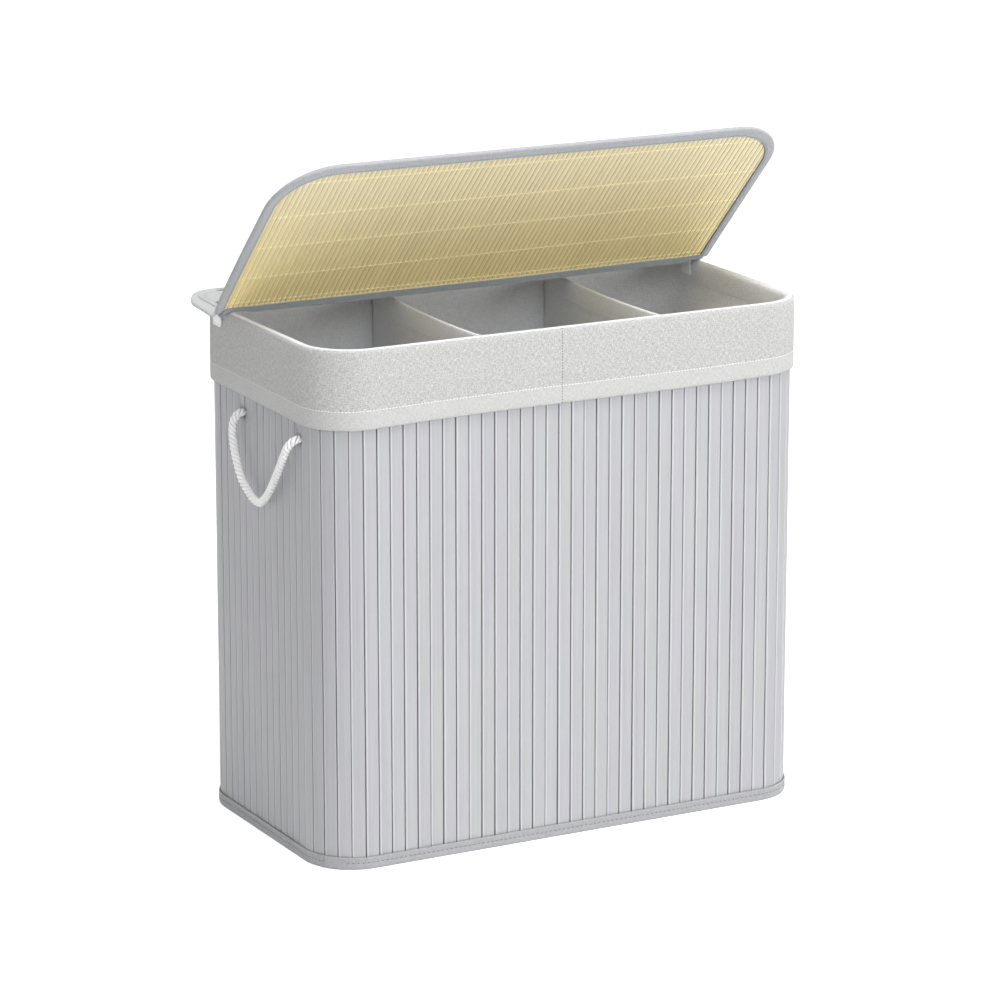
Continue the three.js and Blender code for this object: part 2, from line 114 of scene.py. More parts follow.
class Graph:
    """Adds nodes to a tree: each from its type, its settings, and its sockets' values or links."""

    def __init__(self, tree):
        self.tree = tree

    def feed(self, socket, value):
        if isinstance(value, Value):
            self.tree.links.new(value.socket, socket)
        else:
            socket.default_value = value

    def node(self, kind, settings=None, inputs=None, out=0):
        node = self.tree.nodes.new(kind)
        for label, value in (settings or {}).items():
            setattr(node, label, value)
        for label, value in (inputs or {}).items():
            self.feed(node.inputs[label], value)
        return Value(self, node.outputs[out]) if node.outputs else None

    def math(self, operation, *values):
        return self.node("ShaderNodeMath", {"operation": operation}, dict(enumerate(values)))

    def vector(self, operation, *values):
        return self.node("ShaderNodeVectorMath", {"operation": operation}, dict(enumerate(values)))

    def triple(self, x, y, z):
        """Three numbers as one vector."""
        return self.node("ShaderNodeCombineXYZ", None, {0: x, 1: y, 2: z})

    def part(self, vector, axis):
        return self.node("ShaderNodeSeparateXYZ", None, {0: vector}, axis)

    def noise(self, place, stretch, detail=2.0, roughness=0.5):
        """Noise whose grains are about 1 / stretch long on each axis."""
        spread = self.vector("MULTIPLY", place, stretch)
        grains = {"Vector": spread, "Scale": 1.0, "Detail": detail, "Roughness": roughness}
        return self.node("ShaderNodeTexNoise", None, grains)


def level(red, green, blue):
    """A colour as a display writes it, 0 to 255, for a shader."""
    def linear(c):
        c /= 255
        return c / 12.92 if c <= 0.04045 else ((c + 0.055) / 1.055) ** 2.4
    return (linear(red), linear(green), linear(blue), 1.0)


class Finish(Graph):
    """A material: one Principled shader fed by sums on the piece's own coordinates."""

    def __init__(self, name, **sockets):
        self.material = bpy.data.materials.new(name)
        self.material.use_nodes = True
        super().__init__(self.material.node_tree)
        self.tree.nodes.clear()
        uniform = {label.replace("_", " "): value for label, value in sockets.items()}
        shader = self.node("ShaderNodeBsdfPrincipled", None, uniform)
        self.node("ShaderNodeOutputMaterial", None, {0: shader})
        self.sockets = shader.socket.node.inputs

    def place(self):
        return self.node("ShaderNodeTexCoord", None, None, "Object")

    def cloth_place(self):
        """Distances across and along the cloth, in metres."""
        return self.node("ShaderNodeUVMap", {"uv_map": "cloth"})

    def attribute(self, name, out="Vector"):
        return self.node("ShaderNodeAttribute", {"attribute_name": name}, None, out)

    def slat_place(self, aside, along):
        """A slat's own coordinates, its tone, and the coordinates moved by the tone, so that no
        two slats have the same grain."""
        grain, tone = self.attribute("grain"), self.attribute("tone", "Fac")
        return grain, tone, self.vector("ADD", grain, self.triple(tone * aside, 0.0, tone * along))

    def mix(self, share, first, second):
        inputs = {"Factor": share, 6: first, 7: second}
        return self.node("ShaderNodeMix", {"data_type": "RGBA"}, inputs, 2)

    def shade(self, colour, amount):
        """The colour times a number that changes over the surface."""
        first = colour if isinstance(colour, Value) else colour[:3]
        return self.vector("MULTIPLY", first, self.triple(amount, amount, amount))

    def finish(self, colour, roughness=None, relief=None, depth=0.001):
        self.feed(self.sockets["Base Color"], colour)
        if roughness is not None:
            self.feed(self.sockets["Roughness"], roughness)
        if relief is not None:
            bumps = {"Height": relief, "Distance": depth, "Strength": 1.0}
            self.feed(self.sockets["Normal"], self.node("ShaderNodeBump", None, bumps))
        return self.material


# ------------------------------------------------------------------ materials

def painted_bamboo():
    made = Finish("painted_bamboo", Specular_IOR_Level=0.22)
    grain, tone, shifted = made.slat_place(3.1, 7.7)
    streaks = made.noise(shifted, (1500, 300, 5.0), detail=3)
    fibres = made.noise(shifted, (4200, 900, 22.0))
    patches = made.noise(shifted, (60, 60, 9.0))
    tint = made.noise(shifted, (90, 90, 3.0), detail=1).rise(0.35, 0.65)
    tint = made.mix(tint, level(180, 179, 185), level(180, 182, 183))
    # Painted highlight: the band along each slat's +x edge is made lighter, as if light caught that
    # edge.
    edge = made.part(grain, 0).rise(0.0057, 0.0064)
    lightness = 0.95 + tone * 0.03 + (streaks - 0.5) * 0.26 + (fibres - 0.5) * 0.16
    lightness = lightness + (patches - 0.5) * 0.06
    streaked_and_edge_lit = made.shade(tint, lightness + edge * 0.26)
    return made.finish(streaked_and_edge_lit, 0.36 + streaks * 0.2, streaks * 0.6 + fibres * 0.4, 0.0003)


def bamboo_strips():
    """Bare bamboo below and grey paint on top, told apart by the strip's own height."""
    made = Finish("bamboo_strips")
    grain, tone, shifted = made.slat_place(2.3, 9.1)
    streaks = made.noise(shifted, (2600, 900, 6.0), detail=3)
    patches = made.noise(shifted, (70, 70, 10.0))
    beside, up, along = [made.part(grain, axis) for axis in range(3)]
    # Deeper yellow at the crease and paler towards the far edge; the crease end is also painted
    # brighter, painted light against the shade that falls there.
    paler = (along + patches * 0.08).rise(-0.12, 0.17)
    bare = made.mix(paler, level(255, 236, 172), level(240, 227, 188))
    # Painted highlight: a thin lighter line on each strip, just beside its gap.
    ridge_highlight = 1 - abs(beside - 0.0016).rise(0.0003, 0.0008)
    bare = made.shade(bare, 0.865 + tone * 0.04 + ridge_highlight * 0.26 + (streaks - 0.5) * 0.16)
    paint = made.shade(level(204, 205, 209), 0.96 + (streaks - 0.5) * 0.1)
    both = made.mix(up.rise(0.0006, 0.0010), bare, paint)
    return made.finish(both, 0.38 + streaks * 0.2, streaks, 0.0002)


def woven(name, colour, yarn, contrast, depth, calm=None):
    """Plain-woven cloth of uneven yarns. yarn is about how wide they look and contrast how unlike
    each other they are; the cloth is plainer between the two distances in calm."""
    made = Finish(name, Roughness=0.9, Sheen_Weight=0.8, Sheen_Roughness=0.35)
    place = made.cloth_place()
    across, along = made.part(place, 0), made.part(place, 1)
    warp = made.noise(place, (1 / yarn, 0.2 / yarn, 1))
    weft = made.noise(place, (0.2 / yarn, 1 / yarn, 1))
    specks = made.noise(place, (1.2 / yarn, 1.2 / yarn, 1), detail=3, roughness=0.75)
    clouds = made.noise(place, (0.06 / yarn, 0.06 / yarn, 1))
    weave = across.wave(yarn) * along.wave(yarn)
    uneven = (warp + weft - 1.0) * 0.7 + (specks - 0.5) * 1.2
    if calm:
        start, end = calm
        before, after = 1 - along.rise(start - 0.001, start), along.rise(end, end + 0.001)
        uneven = uneven * (0.45 + 0.55 * after + 0.55 * before)
    lightness = 1.0 + uneven * contrast + (clouds - 0.5) * 0.06
    return made.finish(made.shade(colour, lightness), None, uneven + weave * 0.12, depth)


def rope_yarn():
    made = Finish("rope_yarn", Roughness=0.85, Sheen_Weight=0.2)
    place = made.cloth_place()
    around, along = made.part(place, 0), made.part(place, 1)
    yarns = (around * 5.0 + along * 260.0).wave(1.0)
    fuzz = made.noise(place, (9, 1600, 1), detail=3, roughness=0.6)
    # Painted shade: each strand is darkened on its side that faces the rope's middle, where the
    # strands meet.
    inward = 0.5 - abs(around - 0.5)
    lightness = 0.97 + yarns * 0.02 + (fuzz - 0.5) * 0.1 - inward.rise(0.17, 0.29) * 0.45
    white = made.shade(level(254, 254, 253), lightness)
    return made.finish(white, None, yarns * 0.5 + fuzz * 0.7, 0.0003)


def thread(name, colour):
    made = Finish(name, Roughness=0.6, Sheen_Weight=0.1)
    twist = made.noise(made.place(), (3000, 3000, 3000), detail=1)
    return made.finish(made.shade(colour, 0.9 + twist * 0.2), None, twist, 0.0001)


def moulded_plastic():
    made = Finish("moulded_plastic")
    place = made.place()
    orange_peel = made.noise(place, (900, 900, 900))
    dust = made.noise(place, (120, 120, 120), detail=3)
    white = made.shade(level(249, 250, 250), 0.97 + dust * 0.05)
    return made.finish(white, 0.3 + dust * 0.15, orange_peel, 0.00006)


def strip_steel():
    made = Finish("strip_steel", Metallic=1.0)
    drawn = made.noise(made.place(), (40, 40, 2600))
    bright = made.shade(level(178, 181, 184), 0.85 + drawn * 0.3)
    return made.finish(bright, 0.25 + drawn * 0.25, drawn, 0.00005)


def pressed_board():
    made = Finish("pressed_board", Roughness=0.8)
    place = made.place()
    fibres = made.noise(place, (700, 700, 700), detail=4, roughness=0.7)
    clouds = made.noise(place, (30, 30, 30), detail=3)
    colour = made.mix(clouds, level(176, 150, 116), level(150, 126, 94))
    return made.finish(made.shade(colour, 0.85 + fibres * 0.3), None, fibres, 0.0003)


PAINT = painted_bamboo()
STRIPS = bamboo_strips()
CUFF = woven("cuff_linen", level(198, 198, 197), yarn=0.0009, contrast=1.5, depth=0.0008,
             calm=(0.018, 0.0405))
# The liner is the same cloth as the cuff, painted lighter: painted light that lifts the shade
# inside the bag.
LINER = woven("liner_linen", level(238, 240, 244), yarn=0.0016, contrast=0.4, depth=0.0006)
HEM_TAPE = woven("hem_tape", level(168, 170, 172), yarn=0.0014, contrast=0.45, depth=0.0007)
LID_TAPE = woven("lid_tape", level(176, 179, 183), yarn=0.0014, contrast=0.35, depth=0.0007)
CREASE = woven("crease_twill", level(150, 157, 161), yarn=0.0012, contrast=0.12, depth=0.0004)
BACKING = woven("backing_cloth", level(150, 150, 150), yarn=0.0016, contrast=0.2, depth=0.0006)
HOOKS = woven("hook_tape", level(228, 228, 226), yarn=0.0012, contrast=0.3, depth=0.0012)
ROPE = rope_yarn()
WHITE_THREAD = thread("white_thread", level(240, 240, 238))
CREAM_THREAD = thread("cream_thread", level(252, 238, 194))
GREY_THREAD = thread("grey_thread", level(118, 122, 125))
DARK_THREAD = thread("dark_thread", level(92, 95, 98))
PALE_THREAD = thread("pale_thread", level(182, 185, 186))
END_PATCH = woven("end_patch", level(205, 208, 207), yarn=0.0014, contrast=0.35, depth=0.0007)
PLASTIC = moulded_plastic()
STEEL = strip_steel()
BOARD = pressed_board()


# --------------------------------------------------------------- making meshes

def piece(name, points, faces, material, corner_places=None, flat=False):
    """A mesh object from points and faces; corner_places are each face corner's cloth distances."""
    mesh = bpy.data.meshes.new(name)
    face_lists = faces if isinstance(faces, list) else faces.tolist()
    mesh.from_pydata(np.asarray(points).tolist(), [], face_lists)
    if corner_places is not None:
        layer = mesh.uv_layers.new(name="cloth")
        layer.data.foreach_set("uv", np.asarray(corner_places, np.float32).ravel())
    mesh.materials.append(material)
    if flat:
        mesh.shade_flat()
    else:
        mesh.shade_smooth()
    return placed(name, mesh)


def lengths(points):
    """Distance along a line of points, from its start."""
    steps = np.linalg.norm(np.diff(points, axis=0), axis=1)
    return np.concatenate([[0.0], np.cumsum(steps)])


def sheet_grid(points, across, along, ring=False):
    """Faces and cloth distances of a grid of points[row][column]. A ring joins the last column
    to the first, and its across has one more number than it has columns."""
    rows, columns = points.shape[:2]
    r = np.arange(rows - 1)[:, None]
    c = np.arange(columns if ring else columns - 1)[None, :]
    row, row_above, next_c = r * columns, (r + 1) * columns, (c + 1) % columns
    faces = np.stack([row + c, row + next_c, row_above + next_c, row_above + c], -1)
    left, right = across[c] + 0 * r, across[c + 1] + 0 * r
    low, high = along[r] + 0 * c, along[r + 1] + 0 * c
    corners = [(left, low), (right, low), (right, high), (left, high)]
    corners = np.stack([np.stack(corner, -1) for corner in corners], 2)
    return faces.reshape(-1, 4), corners.reshape(-1, 2)


def grid_piece(name, points, across, along, material, ring=False, flip=False):
    faces, corners = sheet_grid(points, across, along, ring)
    if flip:
        faces = faces[:, ::-1]
        corners = corners.reshape(-1, 4, 2)[:, ::-1].reshape(-1, 2)
    return piece(name, points.reshape(-1, 3), faces, material, corners)


def applied(made):
    """The piece with its modifiers made part of its mesh."""
    bpy.context.view_layer.update()
    evaluated = made.evaluated_get(bpy.context.evaluated_depsgraph_get())
    mesh = bpy.data.meshes.new_from_object(evaluated)
    made.modifiers.clear()
    old = made.data
    made.data = mesh
    mesh.name = made.name
    bpy.data.meshes.remove(old)
    return made


def thicken(made, thickness):
    """Cloth of one thickness, half on each side of the piece's surface."""
    wall = made.modifiers.new("wall", "SOLIDIFY")
    wall.thickness, wall.offset, wall.use_even_offset = thickness, 0.0, True
    return applied(made)


def joined(name, pieces):
    """Several mesh objects as one."""
    with bpy.context.temp_override(active_object=pieces[0], selected_editable_objects=pieces):
        bpy.ops.object.join()
    pieces[0].name = pieces[0].data.name = name
    return pieces[0]


def rounded_box(x0, x1, y0, y1, radii, spacing):
    """Points about spacing apart round a box with rounded corners, anticlockwise from the middle
    of its y0 side: their places, the ways they face, and the distance round, one number longer.
    radii go anticlockwise from the corner after the start."""
    middle_x, middle_y = (x0 + x1) / 2, (y0 + y1) / 2
    path = [((middle_x, y0), -0.25 * TURN)]
    corners = [(x1, y0, -0.25), (x1, y1, 0.0), (x0, y1, 0.25), (x0, y0, 0.5)]
    for (x, y, quarter), radius in zip(corners, radii):
        centre_x = x - math.copysign(radius, x - middle_x)
        centre_y = y - math.copysign(radius, y - middle_y)
        for k in range(25):
            angle = (quarter + k / 96) * TURN
            place = (centre_x + radius * math.cos(angle), centre_y + radius * math.sin(angle))
            path.append((place, angle))
    path.append((path[0][0], 0.75 * TURN))
    places, angles = [np.array(column) for column in zip(*path)]
    along = lengths(places)
    count = max(8, round(along[-1] / spacing))
    at = np.linspace(0, along[-1], count + 1)
    angle = np.interp(at, along, angles)
    place = np.stack([np.interp(at, along, places[:, k]) for k in range(2)], -1)
    return place[:-1], np.stack([np.cos(angle), np.sin(angle)], -1)[:-1], at


def box_ring(half_x, half_y, bend, inset, spacing):
    """Points round a box about the origin, with its sides moved inwards by inset."""
    x, y = half_x - inset, half_y - inset
    return rounded_box(-x, x, -y, y, [bend - inset] * 4, spacing)


def ripple(round_, total, height, waves, seed):
    """A smooth uneven field round a wall, from about -1 to 1."""
    own = np.random.default_rng(seed)
    field = 0
    for _ in range(waves):
        turns = own.integers(3, 16)
        phase, rise, tilt = own.random(3) * TURN
        swing = TURN * turns * round_ / total + phase + tilt * np.sin(9 * height)
        field = field + np.sin(swing) * np.cos(7 * height + rise)
    return field / math.sqrt(waves)


def smooth_line(points, step):
    """A curve through the points, with new points about step apart."""
    p = np.array(points, float)
    p = np.vstack([2 * p[0] - p[1], p, 2 * p[-1] - p[-2]])
    found = []
    for a, b, c, d in zip(p[:-3], p[1:-2], p[2:-1], p[3:]):
        t1 = np.linalg.norm(b - a) ** 0.5
        t2 = t1 + np.linalg.norm(c - b) ** 0.5
        t3 = t2 + np.linalg.norm(d - c) ** 0.5
        t = np.linspace(t1, t2, 24, endpoint=False)[:, None]
        ab = a + (b - a) * t / t1
        bc = b + (c - b) * (t - t1) / (t2 - t1)
        cd = c + (d - c) * (t - t2) / (t3 - t2)
        abc = ab + (bc - ab) * t / t2
        bcd = bc + (cd - bc) * (t - t1) / (t3 - t1)
        found.append(abc + (bcd - abc) * (t - t1) / (t2 - t1))
    line = np.vstack(found + [p[-2:-1]])
    along = lengths(line)
    at = np.linspace(0, along[-1], max(2, round(along[-1] / step)) + 1)
    return np.stack([np.interp(at, along, line[:, k]) for k in range(3)], -1)


def directions(line):
    """Along, across and beside a line at each point, turning as little as they can."""
    along = np.gradient(line, axis=0)
    along /= np.linalg.norm(along, axis=1)[:, None]
    across = np.zeros_like(line)
    start = np.cross(along[0], (0.3, 0.2, 1.0))
    for k, way in enumerate(along):
        start = start - way * (start @ way)
        start = start / np.linalg.norm(start)
        across[k] = start
    return along, across, np.cross(along, across)


def round_bar(name, centres, across, beside, far, radius, sides, material):
    """A bar with flat ends along its centres. across and beside are the ways its section lies at
    each of them, and far how far along the cloth they are."""
    angle = np.arange(sides)[None, :, None] * TURN / sides
    ring = np.cos(angle) * across[:, None] + np.sin(angle) * beside[:, None]
    points = centres[:, None] + radius * ring
    faces, corners = sheet_grid(points, np.arange(sides + 1) / sides, far, ring=True)
    count = len(centres) * sides
    ends = [list(range(sides))[::-1], list(range(count - sides, count))]
    corners = np.vstack([corners, np.zeros((2 * sides, 2))])
    return piece(name, points.reshape(-1, 3), faces.tolist() + ends, material, corners)


def tube(name, line, radius, sides, material):
    """A tube along a line, closed at its ends."""
    _, across, beside = directions(line)
    return round_bar(name, line, across, beside, lengths(line), radius, sides, material)


def twisted_rope(name, line, radius, lay, sides=9):
    """Three strands laid round each other along a line, and a core that fills their middle."""
    _, across, beside = directions(line)
    far = lengths(line)
    strands, strand = 3, 0.43 * radius
    made = [tube(f"{name}_core", line, 0.4 * radius, 6, ROPE)]
    for k in range(strands):
        turn = (-TURN * far / lay + TURN * k / strands)[:, None]
        out = np.cos(turn) * across + np.sin(turn) * beside
        centres = line + (radius - strand) * out
        way = np.gradient(centres, axis=0)
        way /= np.linalg.norm(way, axis=1)[:, None]
        out = out - way * (out * way).sum(1)[:, None]
        out /= np.linalg.norm(out, axis=1)[:, None]
        side = np.cross(way, out)
        made.append(round_bar(f"{name}_{k}", centres, out, side, far, strand, sides, ROPE))
    return joined(name, made)


# ------------------------------------------------------------ geometry nodes

class Pattern(Graph):
    """A Geometry Nodes tree for what repeats, with its sizes as named inputs."""

    def __init__(self, name, inputs):
        super().__init__(bpy.data.node_groups.new(name, "GeometryNodeTree"))
        face = self.tree.interface
        face.new_socket("Geometry", in_out="OUTPUT", socket_type="NodeSocketGeometry")
        face.new_socket("Geometry", in_out="INPUT", socket_type="NodeSocketGeometry")
        self.keys = {}
        for label, kind in inputs.items():
            socket = face.new_socket(label, in_out="INPUT", socket_type="NodeSocket" + kind)
            self.keys[label] = socket.identifier
        self.source = self.node("NodeGroupInput")

    def given(self, label):
        return self.source.beside(label)

    def named(self, label, kind="FLOAT"):
        """What the points hold under a name."""
        holder = "GeometryNodeInputNamedAttribute"
        return self.node(holder, {"data_type": kind}, {"Name": label}, "Attribute")

    def store(self, geometry, label, value):
        """The geometry with a vector kept on its points under a name."""
        settings = {"data_type": "FLOAT_VECTOR", "domain": "POINT"}
        inputs = {"Geometry": geometry, "Name": label, "Value": value}
        return self.node("GeometryNodeStoreNamedAttribute", settings, inputs)

    def copies(self, points, shape, turn, size):
        inputs = {"Points": points, "Instance": shape, "Rotation": turn, "Scale": size}
        return self.node("GeometryNodeInstanceOnPoints", None, inputs)

    def close(self, geometry):
        whole = self.node("GeometryNodeRealizeInstances", None, {0: geometry})
        finished = {"Geometry": self.finish_shape(whole), "Material": self.given("Material")}
        made = self.node("GeometryNodeSetMaterial", None, finished)
        self.node("NodeGroupOutput", None, {0: made})

    def finish_shape(self, whole):
        return whole

    def run(self, name, mesh, **sizes):
        """The plain mesh object that the tree makes from a mesh."""
        made = placed(name, mesh)
        grower = made.modifiers.new("pattern", "NODES")
        grower.node_group = self.tree
        for label, value in sizes.items():
            grower[self.keys[label.replace("_", " ")]] = value
        return applied(made)


class SlatPattern(Pattern):
    """Slats on points: each stands along its own Z, as long as its reach, turned by its turn."""

    def __init__(self):
        super().__init__("slats", {"Width": "Float", "Thickness": "Float", "Edge": "Float",
                                   "Edge Steps": "Int", "Steps": "Int", "Bow": "Float",
                                   "Material": "Material"})
        sides = {"Width": self.given("Width"), "Height": self.given("Thickness")}
        flat = self.node("GeometryNodeCurvePrimitiveQuadrilateral", None, sides)
        rounding = {0: flat, "Count": self.given("Edge Steps"), "Radius": self.given("Edge")}
        section = self.node("GeometryNodeFilletCurve", {"mode": "POLY"}, rounding)
        ends = {"Start": (0, 0, -0.5), "End": (0, 0, 0.5)}
        steps = {0: self.node("GeometryNodeCurvePrimitiveLine", None, ends),
                 "Count": self.given("Steps")}
        rail = self.node("GeometryNodeResampleCurve", {"mode": "COUNT"}, steps)
        swept = {"Curve": rail, "Profile Curve": section, "Fill Caps": True}
        slat = self.node("GeometryNodeCurveToMesh", None, swept)
        slat = self.store(slat, "grain", self.node("GeometryNodeInputPosition"))
        turn = self.named("turn", "FLOAT_VECTOR")
        turn = self.node("FunctionNodeEulerToRotation", None, {0: turn})
        size = self.triple(1.0, 1.0, self.named("reach"))
        self.close(self.copies(self.given("Geometry"), slat, turn, size))

    def finish_shape(self, whole):
        """Stretches each slat's own coordinates to its length, and bends it a little."""
        stretch = self.triple(1.0, 1.0, self.named("reach"))
        grain = self.vector("MULTIPLY", self.named("grain", "FLOAT_VECTOR"), stretch)
        whole = self.store(whole, "grain", grain)
        tone = self.named("tone")
        apart = self.triple(tone * 31.0, 0.0, tone * 17.0)
        moved = self.vector("ADD", self.named("grain", "FLOAT_VECTOR"), apart)
        spread = self.vector("MULTIPLY", moved, (30, 30, 7))
        waves = {"Vector": spread, "Scale": 1.0, "Detail": 1.0}
        bend = self.node("ShaderNodeTexNoise", None, waves, "Color")
        bend = self.vector("SUBTRACT", bend, (0.5, 0.5, 0.5))
        bend = self.vector("MULTIPLY", bend, self.triple(self.given("Bow"), self.given("Bow"), 0.0))
        return self.node("GeometryNodeSetPosition", None, {"Geometry": whole, "Offset": bend})


class StitchPattern(Pattern):
    """Stitches along lines, each as long as the pitch between them allows."""

    def __init__(self):
        super().__init__("stitches", {"Pitch": "Float", "Length": "Float", "Thickness": "Float",
                                      "Material": "Material"})
        lines = self.node("GeometryNodeMeshToCurve", None, {0: self.given("Geometry")})
        run = {"Curve": lines, "Length": self.given("Pitch")}
        spots = self.node("GeometryNodeCurveToPoints", {"mode": "LENGTH"}, run, "Points")
        ball = {"Segments": 6, "Rings": 4, "Radius": 0.5}
        bead = self.node("GeometryNodeMeshUVSphere", None, ball)
        thick = self.given("Thickness")
        size = self.triple(thick, thick, self.given("Length"))
        self.close(self.copies(spots, bead, spots.beside("Rotation"), size))


SLATS = SlatPattern()
STITCHES = StitchPattern()


def slats_on(name, places, turns, reaches, tones, material, **sizes):
    """Slats with their middles at the places."""
    mesh = bpy.data.meshes.new(name)
    mesh.from_pydata(np.asarray(places).tolist(), [], [])
    turned = mesh.attributes.new("turn", "FLOAT_VECTOR", "POINT")
    turned.data.foreach_set("vector", np.asarray(turns, np.float32).ravel())
    for label, values in (("reach", reaches), ("tone", tones)):
        layer = mesh.attributes.new(label, "FLOAT", "POINT")
        layer.data.foreach_set("value", np.asarray(values, np.float32))
    made = SLATS.run(name, mesh, Material=material, **sizes)
    made.data.shade_smooth()
    made.data.set_sharp_from_angle(angle=math.radians(22))
    return made


def sewn(name, lines, material, pitch, length, thickness):
    """Rows of stitches along lines; a line is a list of points, closed if it says so."""
    points, edges = [], []
    for line, closed in lines:
        first = len(points)
        points += np.asarray(line).tolist()
        edges += [(first + k, first + k + 1) for k in range(len(line) - 1)]
        edges += [(first + len(line) - 1, first)] if closed else []
    mesh = bpy.data.meshes.new(name)
    mesh.from_pydata(points, edges, [])
    sizes = {"Pitch": pitch, "Length": length, "Thickness": thickness}
    return STITCHES.run(name, mesh, Material=material, **sizes)


def reshape(made, move):
    """Moves a piece's points: move takes all of them and gives their new places."""
    mesh = made.data
    points = np.empty(len(mesh.vertices) * 3, np.float32)
    mesh.vertices.foreach_get("co", points)
    moved = move(points.reshape(-1, 3).astype(float))
    mesh.vertices.foreach_set("co", moved.astype(np.float32).ravel())
    mesh.update()
    return made


def smooth(values, low, high):
    t = np.clip((values - low) / (high - low), 0, 1)
    return t * t * (3 - 2 * t)


# ------------------------------------------------------------------ the walls

HALF_X, HALF_Y, BEND, TOP = 0.330, 0.1775, 0.062, 0.635
WALL_ROUND = 1.9236
COARSE, FINE = 0.004, 0.0005
HOLE_Z, HOLE_BACK, HOLE_FRONT, HOLE_RADIUS = 0.5195, 0.0455, -0.1095, 0.0060
SLAT_COUNT, SLAT_GAP, SLAT_THICK, SLAT_LOW, SLAT_HIGH = 111, 0.0012, 0.0024, 0.0014, 0.6321
SIDES = ("front", "right", "back", "left")
CORNERS = ("front_left", "front_right", "back_right", "back_left")


def wall_ring(spacing):
    return box_ring(HALF_X, HALF_Y, BEND, 0.0, spacing)


def carried(place, facing, section, out):
    """Points of a section carried along a line of places, out from it the way each one faces."""
    points = np.empty((len(section), len(place), 3))
    points[..., :2] = place[None] + out[..., None] * facing[None]
    points[..., 2] = section[:, 1:]
    return points


def band(name, profile, material, thickness, wrinkle=None):
    """Cloth that goes round the walls. Its profile is (outwards from the slats' face, height) in
    millimetres, upwards on its outer side; wrinkle gives each point's extra outward distance."""
    place, facing, at = wall_ring(COARSE)
    section = np.array(profile, float) / 1000
    out = section[:, :1] + np.zeros(len(place))
    if wrinkle is not None:
        out = out + wrinkle(at[None, :-1], section)
    points = carried(place, facing, section, out)
    made = grid_piece(name, points, at, lengths(section), material, ring=True)
    return thicken(made, thickness), (float(at[-1]), float(lengths(section)[-1]))


def follow(out, height, above, wrinkle, only=None):
    """The line round the walls, above a band's surface by some millimetres, at one of its
    profile's points; or only its place at one distance round."""
    place, facing, at = wall_ring(COARSE if only is None else FINE)
    reach = (out + above) / 1000 + wrinkle(at[None, :-1], np.array([[out, height]]) / 1000)[0]
    line = np.column_stack([place + reach[:, None] * facing, np.full(len(place), height / 1000)])
    return line if only is None else line[[np.searchsorted(at[:-1], only)]]


def hole_cutter():
    """Two bars through both short walls, where the rope goes in."""
    bars = []
    for k, y in enumerate((HOLE_BACK, HOLE_FRONT)):
        line = np.array([[-0.36, y, HOLE_Z], [0.36, y, HOLE_Z]])
        bars.append(tube(f"bar_{k}", line, HOLE_RADIUS, 24, PAINT))
    return joined("hole_bars", bars)


def pierce(made, cutter, material):
    cut = made.modifiers.new("holes", "BOOLEAN")
    cut.object, cut.operation, cut.solver = cutter, "DIFFERENCE", "EXACT"
    applied(made)
    made.data.materials.clear()
    made.data.materials.append(material)


def wall_slats():
    """The slats side by side round the walls, none of them quite upright."""
    place, facing, at = wall_ring(FINE)
    step, first, lean = at[-1] / SLAT_COUNT, 0.0055, 0.0006
    where = (first + step * np.arange(SLAT_COUNT)) % at[-1]
    spot = np.clip(np.searchsorted(at, where), 0, len(place) - 1)
    angle = np.arctan2(facing[spot, 1], facing[spot, 0])
    centre = place[spot] - SLAT_THICK / 2 * facing[spot]
    places = np.column_stack([centre, np.full(SLAT_COUNT, (SLAT_LOW + SLAT_HIGH) / 2)])
    leans = [chance.normal(0, lean, SLAT_COUNT) for _ in range(2)]
    turns = np.column_stack([*leans, angle - TURN / 4])
    tones = np.clip(chance.normal(0.5, 0.22, SLAT_COUNT), 0, 1)
    reaches = np.full(SLAT_COUNT, SLAT_HIGH - SLAT_LOW)
    return slats_on("wall_slats", places, turns, reaches, tones, PAINT, Width=step - SLAT_GAP,
                    Thickness=SLAT_THICK, Edge=0.0010, Edge_Steps=4, Steps=16, Bow=0.0005)


cutter = hole_cutter()
slats = wall_slats()
pierce(slats, cutter, PAINT)
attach(slats, "basket")
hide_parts(*[f"slat_wall_{side}" for side in SIDES],
            *[f"slat_corner_{corner}" for corner in CORNERS])

backing_profile = [(-3.1, height) for height in (1.6, 150, 330, 500, 631.5)]
backing, cut_size = band("wall_backing", backing_profile, BACKING, thickness=0.0007)
pierce(backing, cutter, BACKING)
bpy.data.objects.remove(cutter)
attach(backing, "basket")
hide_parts("wall_backing_cloth")

rim_profile = [(1.3, 612.6), (1.3, 622), (1.25, 631.4), (0.6, 632.8), (-1.2, 633.1), (-3.8, 633.1),
               (-5.2, 632.6), (-5.7, 631), (-5.7, 622), (-5.7, 612.6)]
rim, cut_size = band("rim_binding_tape", rim_profile, HEM_TAPE, thickness=0.0007)
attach(rim, "basket")
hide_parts("rim_binding")

hem_profile = [(-4.4, 15.0), (-4.45, 8), (-4.4, 2.0), (-3.9, 0.9), (-2.5, 0.62), (0.2, 0.62),
               (1.2, 1.0), (1.7, 2.4), (1.85, 4.6), (1.75, 6.8), (1.5, 8.0), (1.38, 8.6),
               (1.5, 9.2), (1.72, 10.4), (1.8, 12.6), (1.66, 14.8), (1.45, 15.6)]


def hem_ease(round_, section):
    """The hem's outer leg puffs out a little between its stitches."""
    outer = smooth(section[:, :1], 0.0012, 0.0016)
    return outer * 0.00025 * (ripple(round_, WALL_ROUND, section[:, 1:], waves=5, seed=3) + 0.4)


hem, cut_size = band("hem_tape", hem_profile, HEM_TAPE, thickness=0.0011, wrinkle=hem_ease)
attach(hem, "basket")
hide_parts("hem_binding")

hem_row = follow(1.38, 8.6, 0.65, hem_ease)
hem_stitches = sewn("hem_stitches", [(hem_row, True)], DARK_THREAD,
                    pitch=0.0062, length=0.0030, thickness=0.0009)
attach(hem_stitches, "basket")


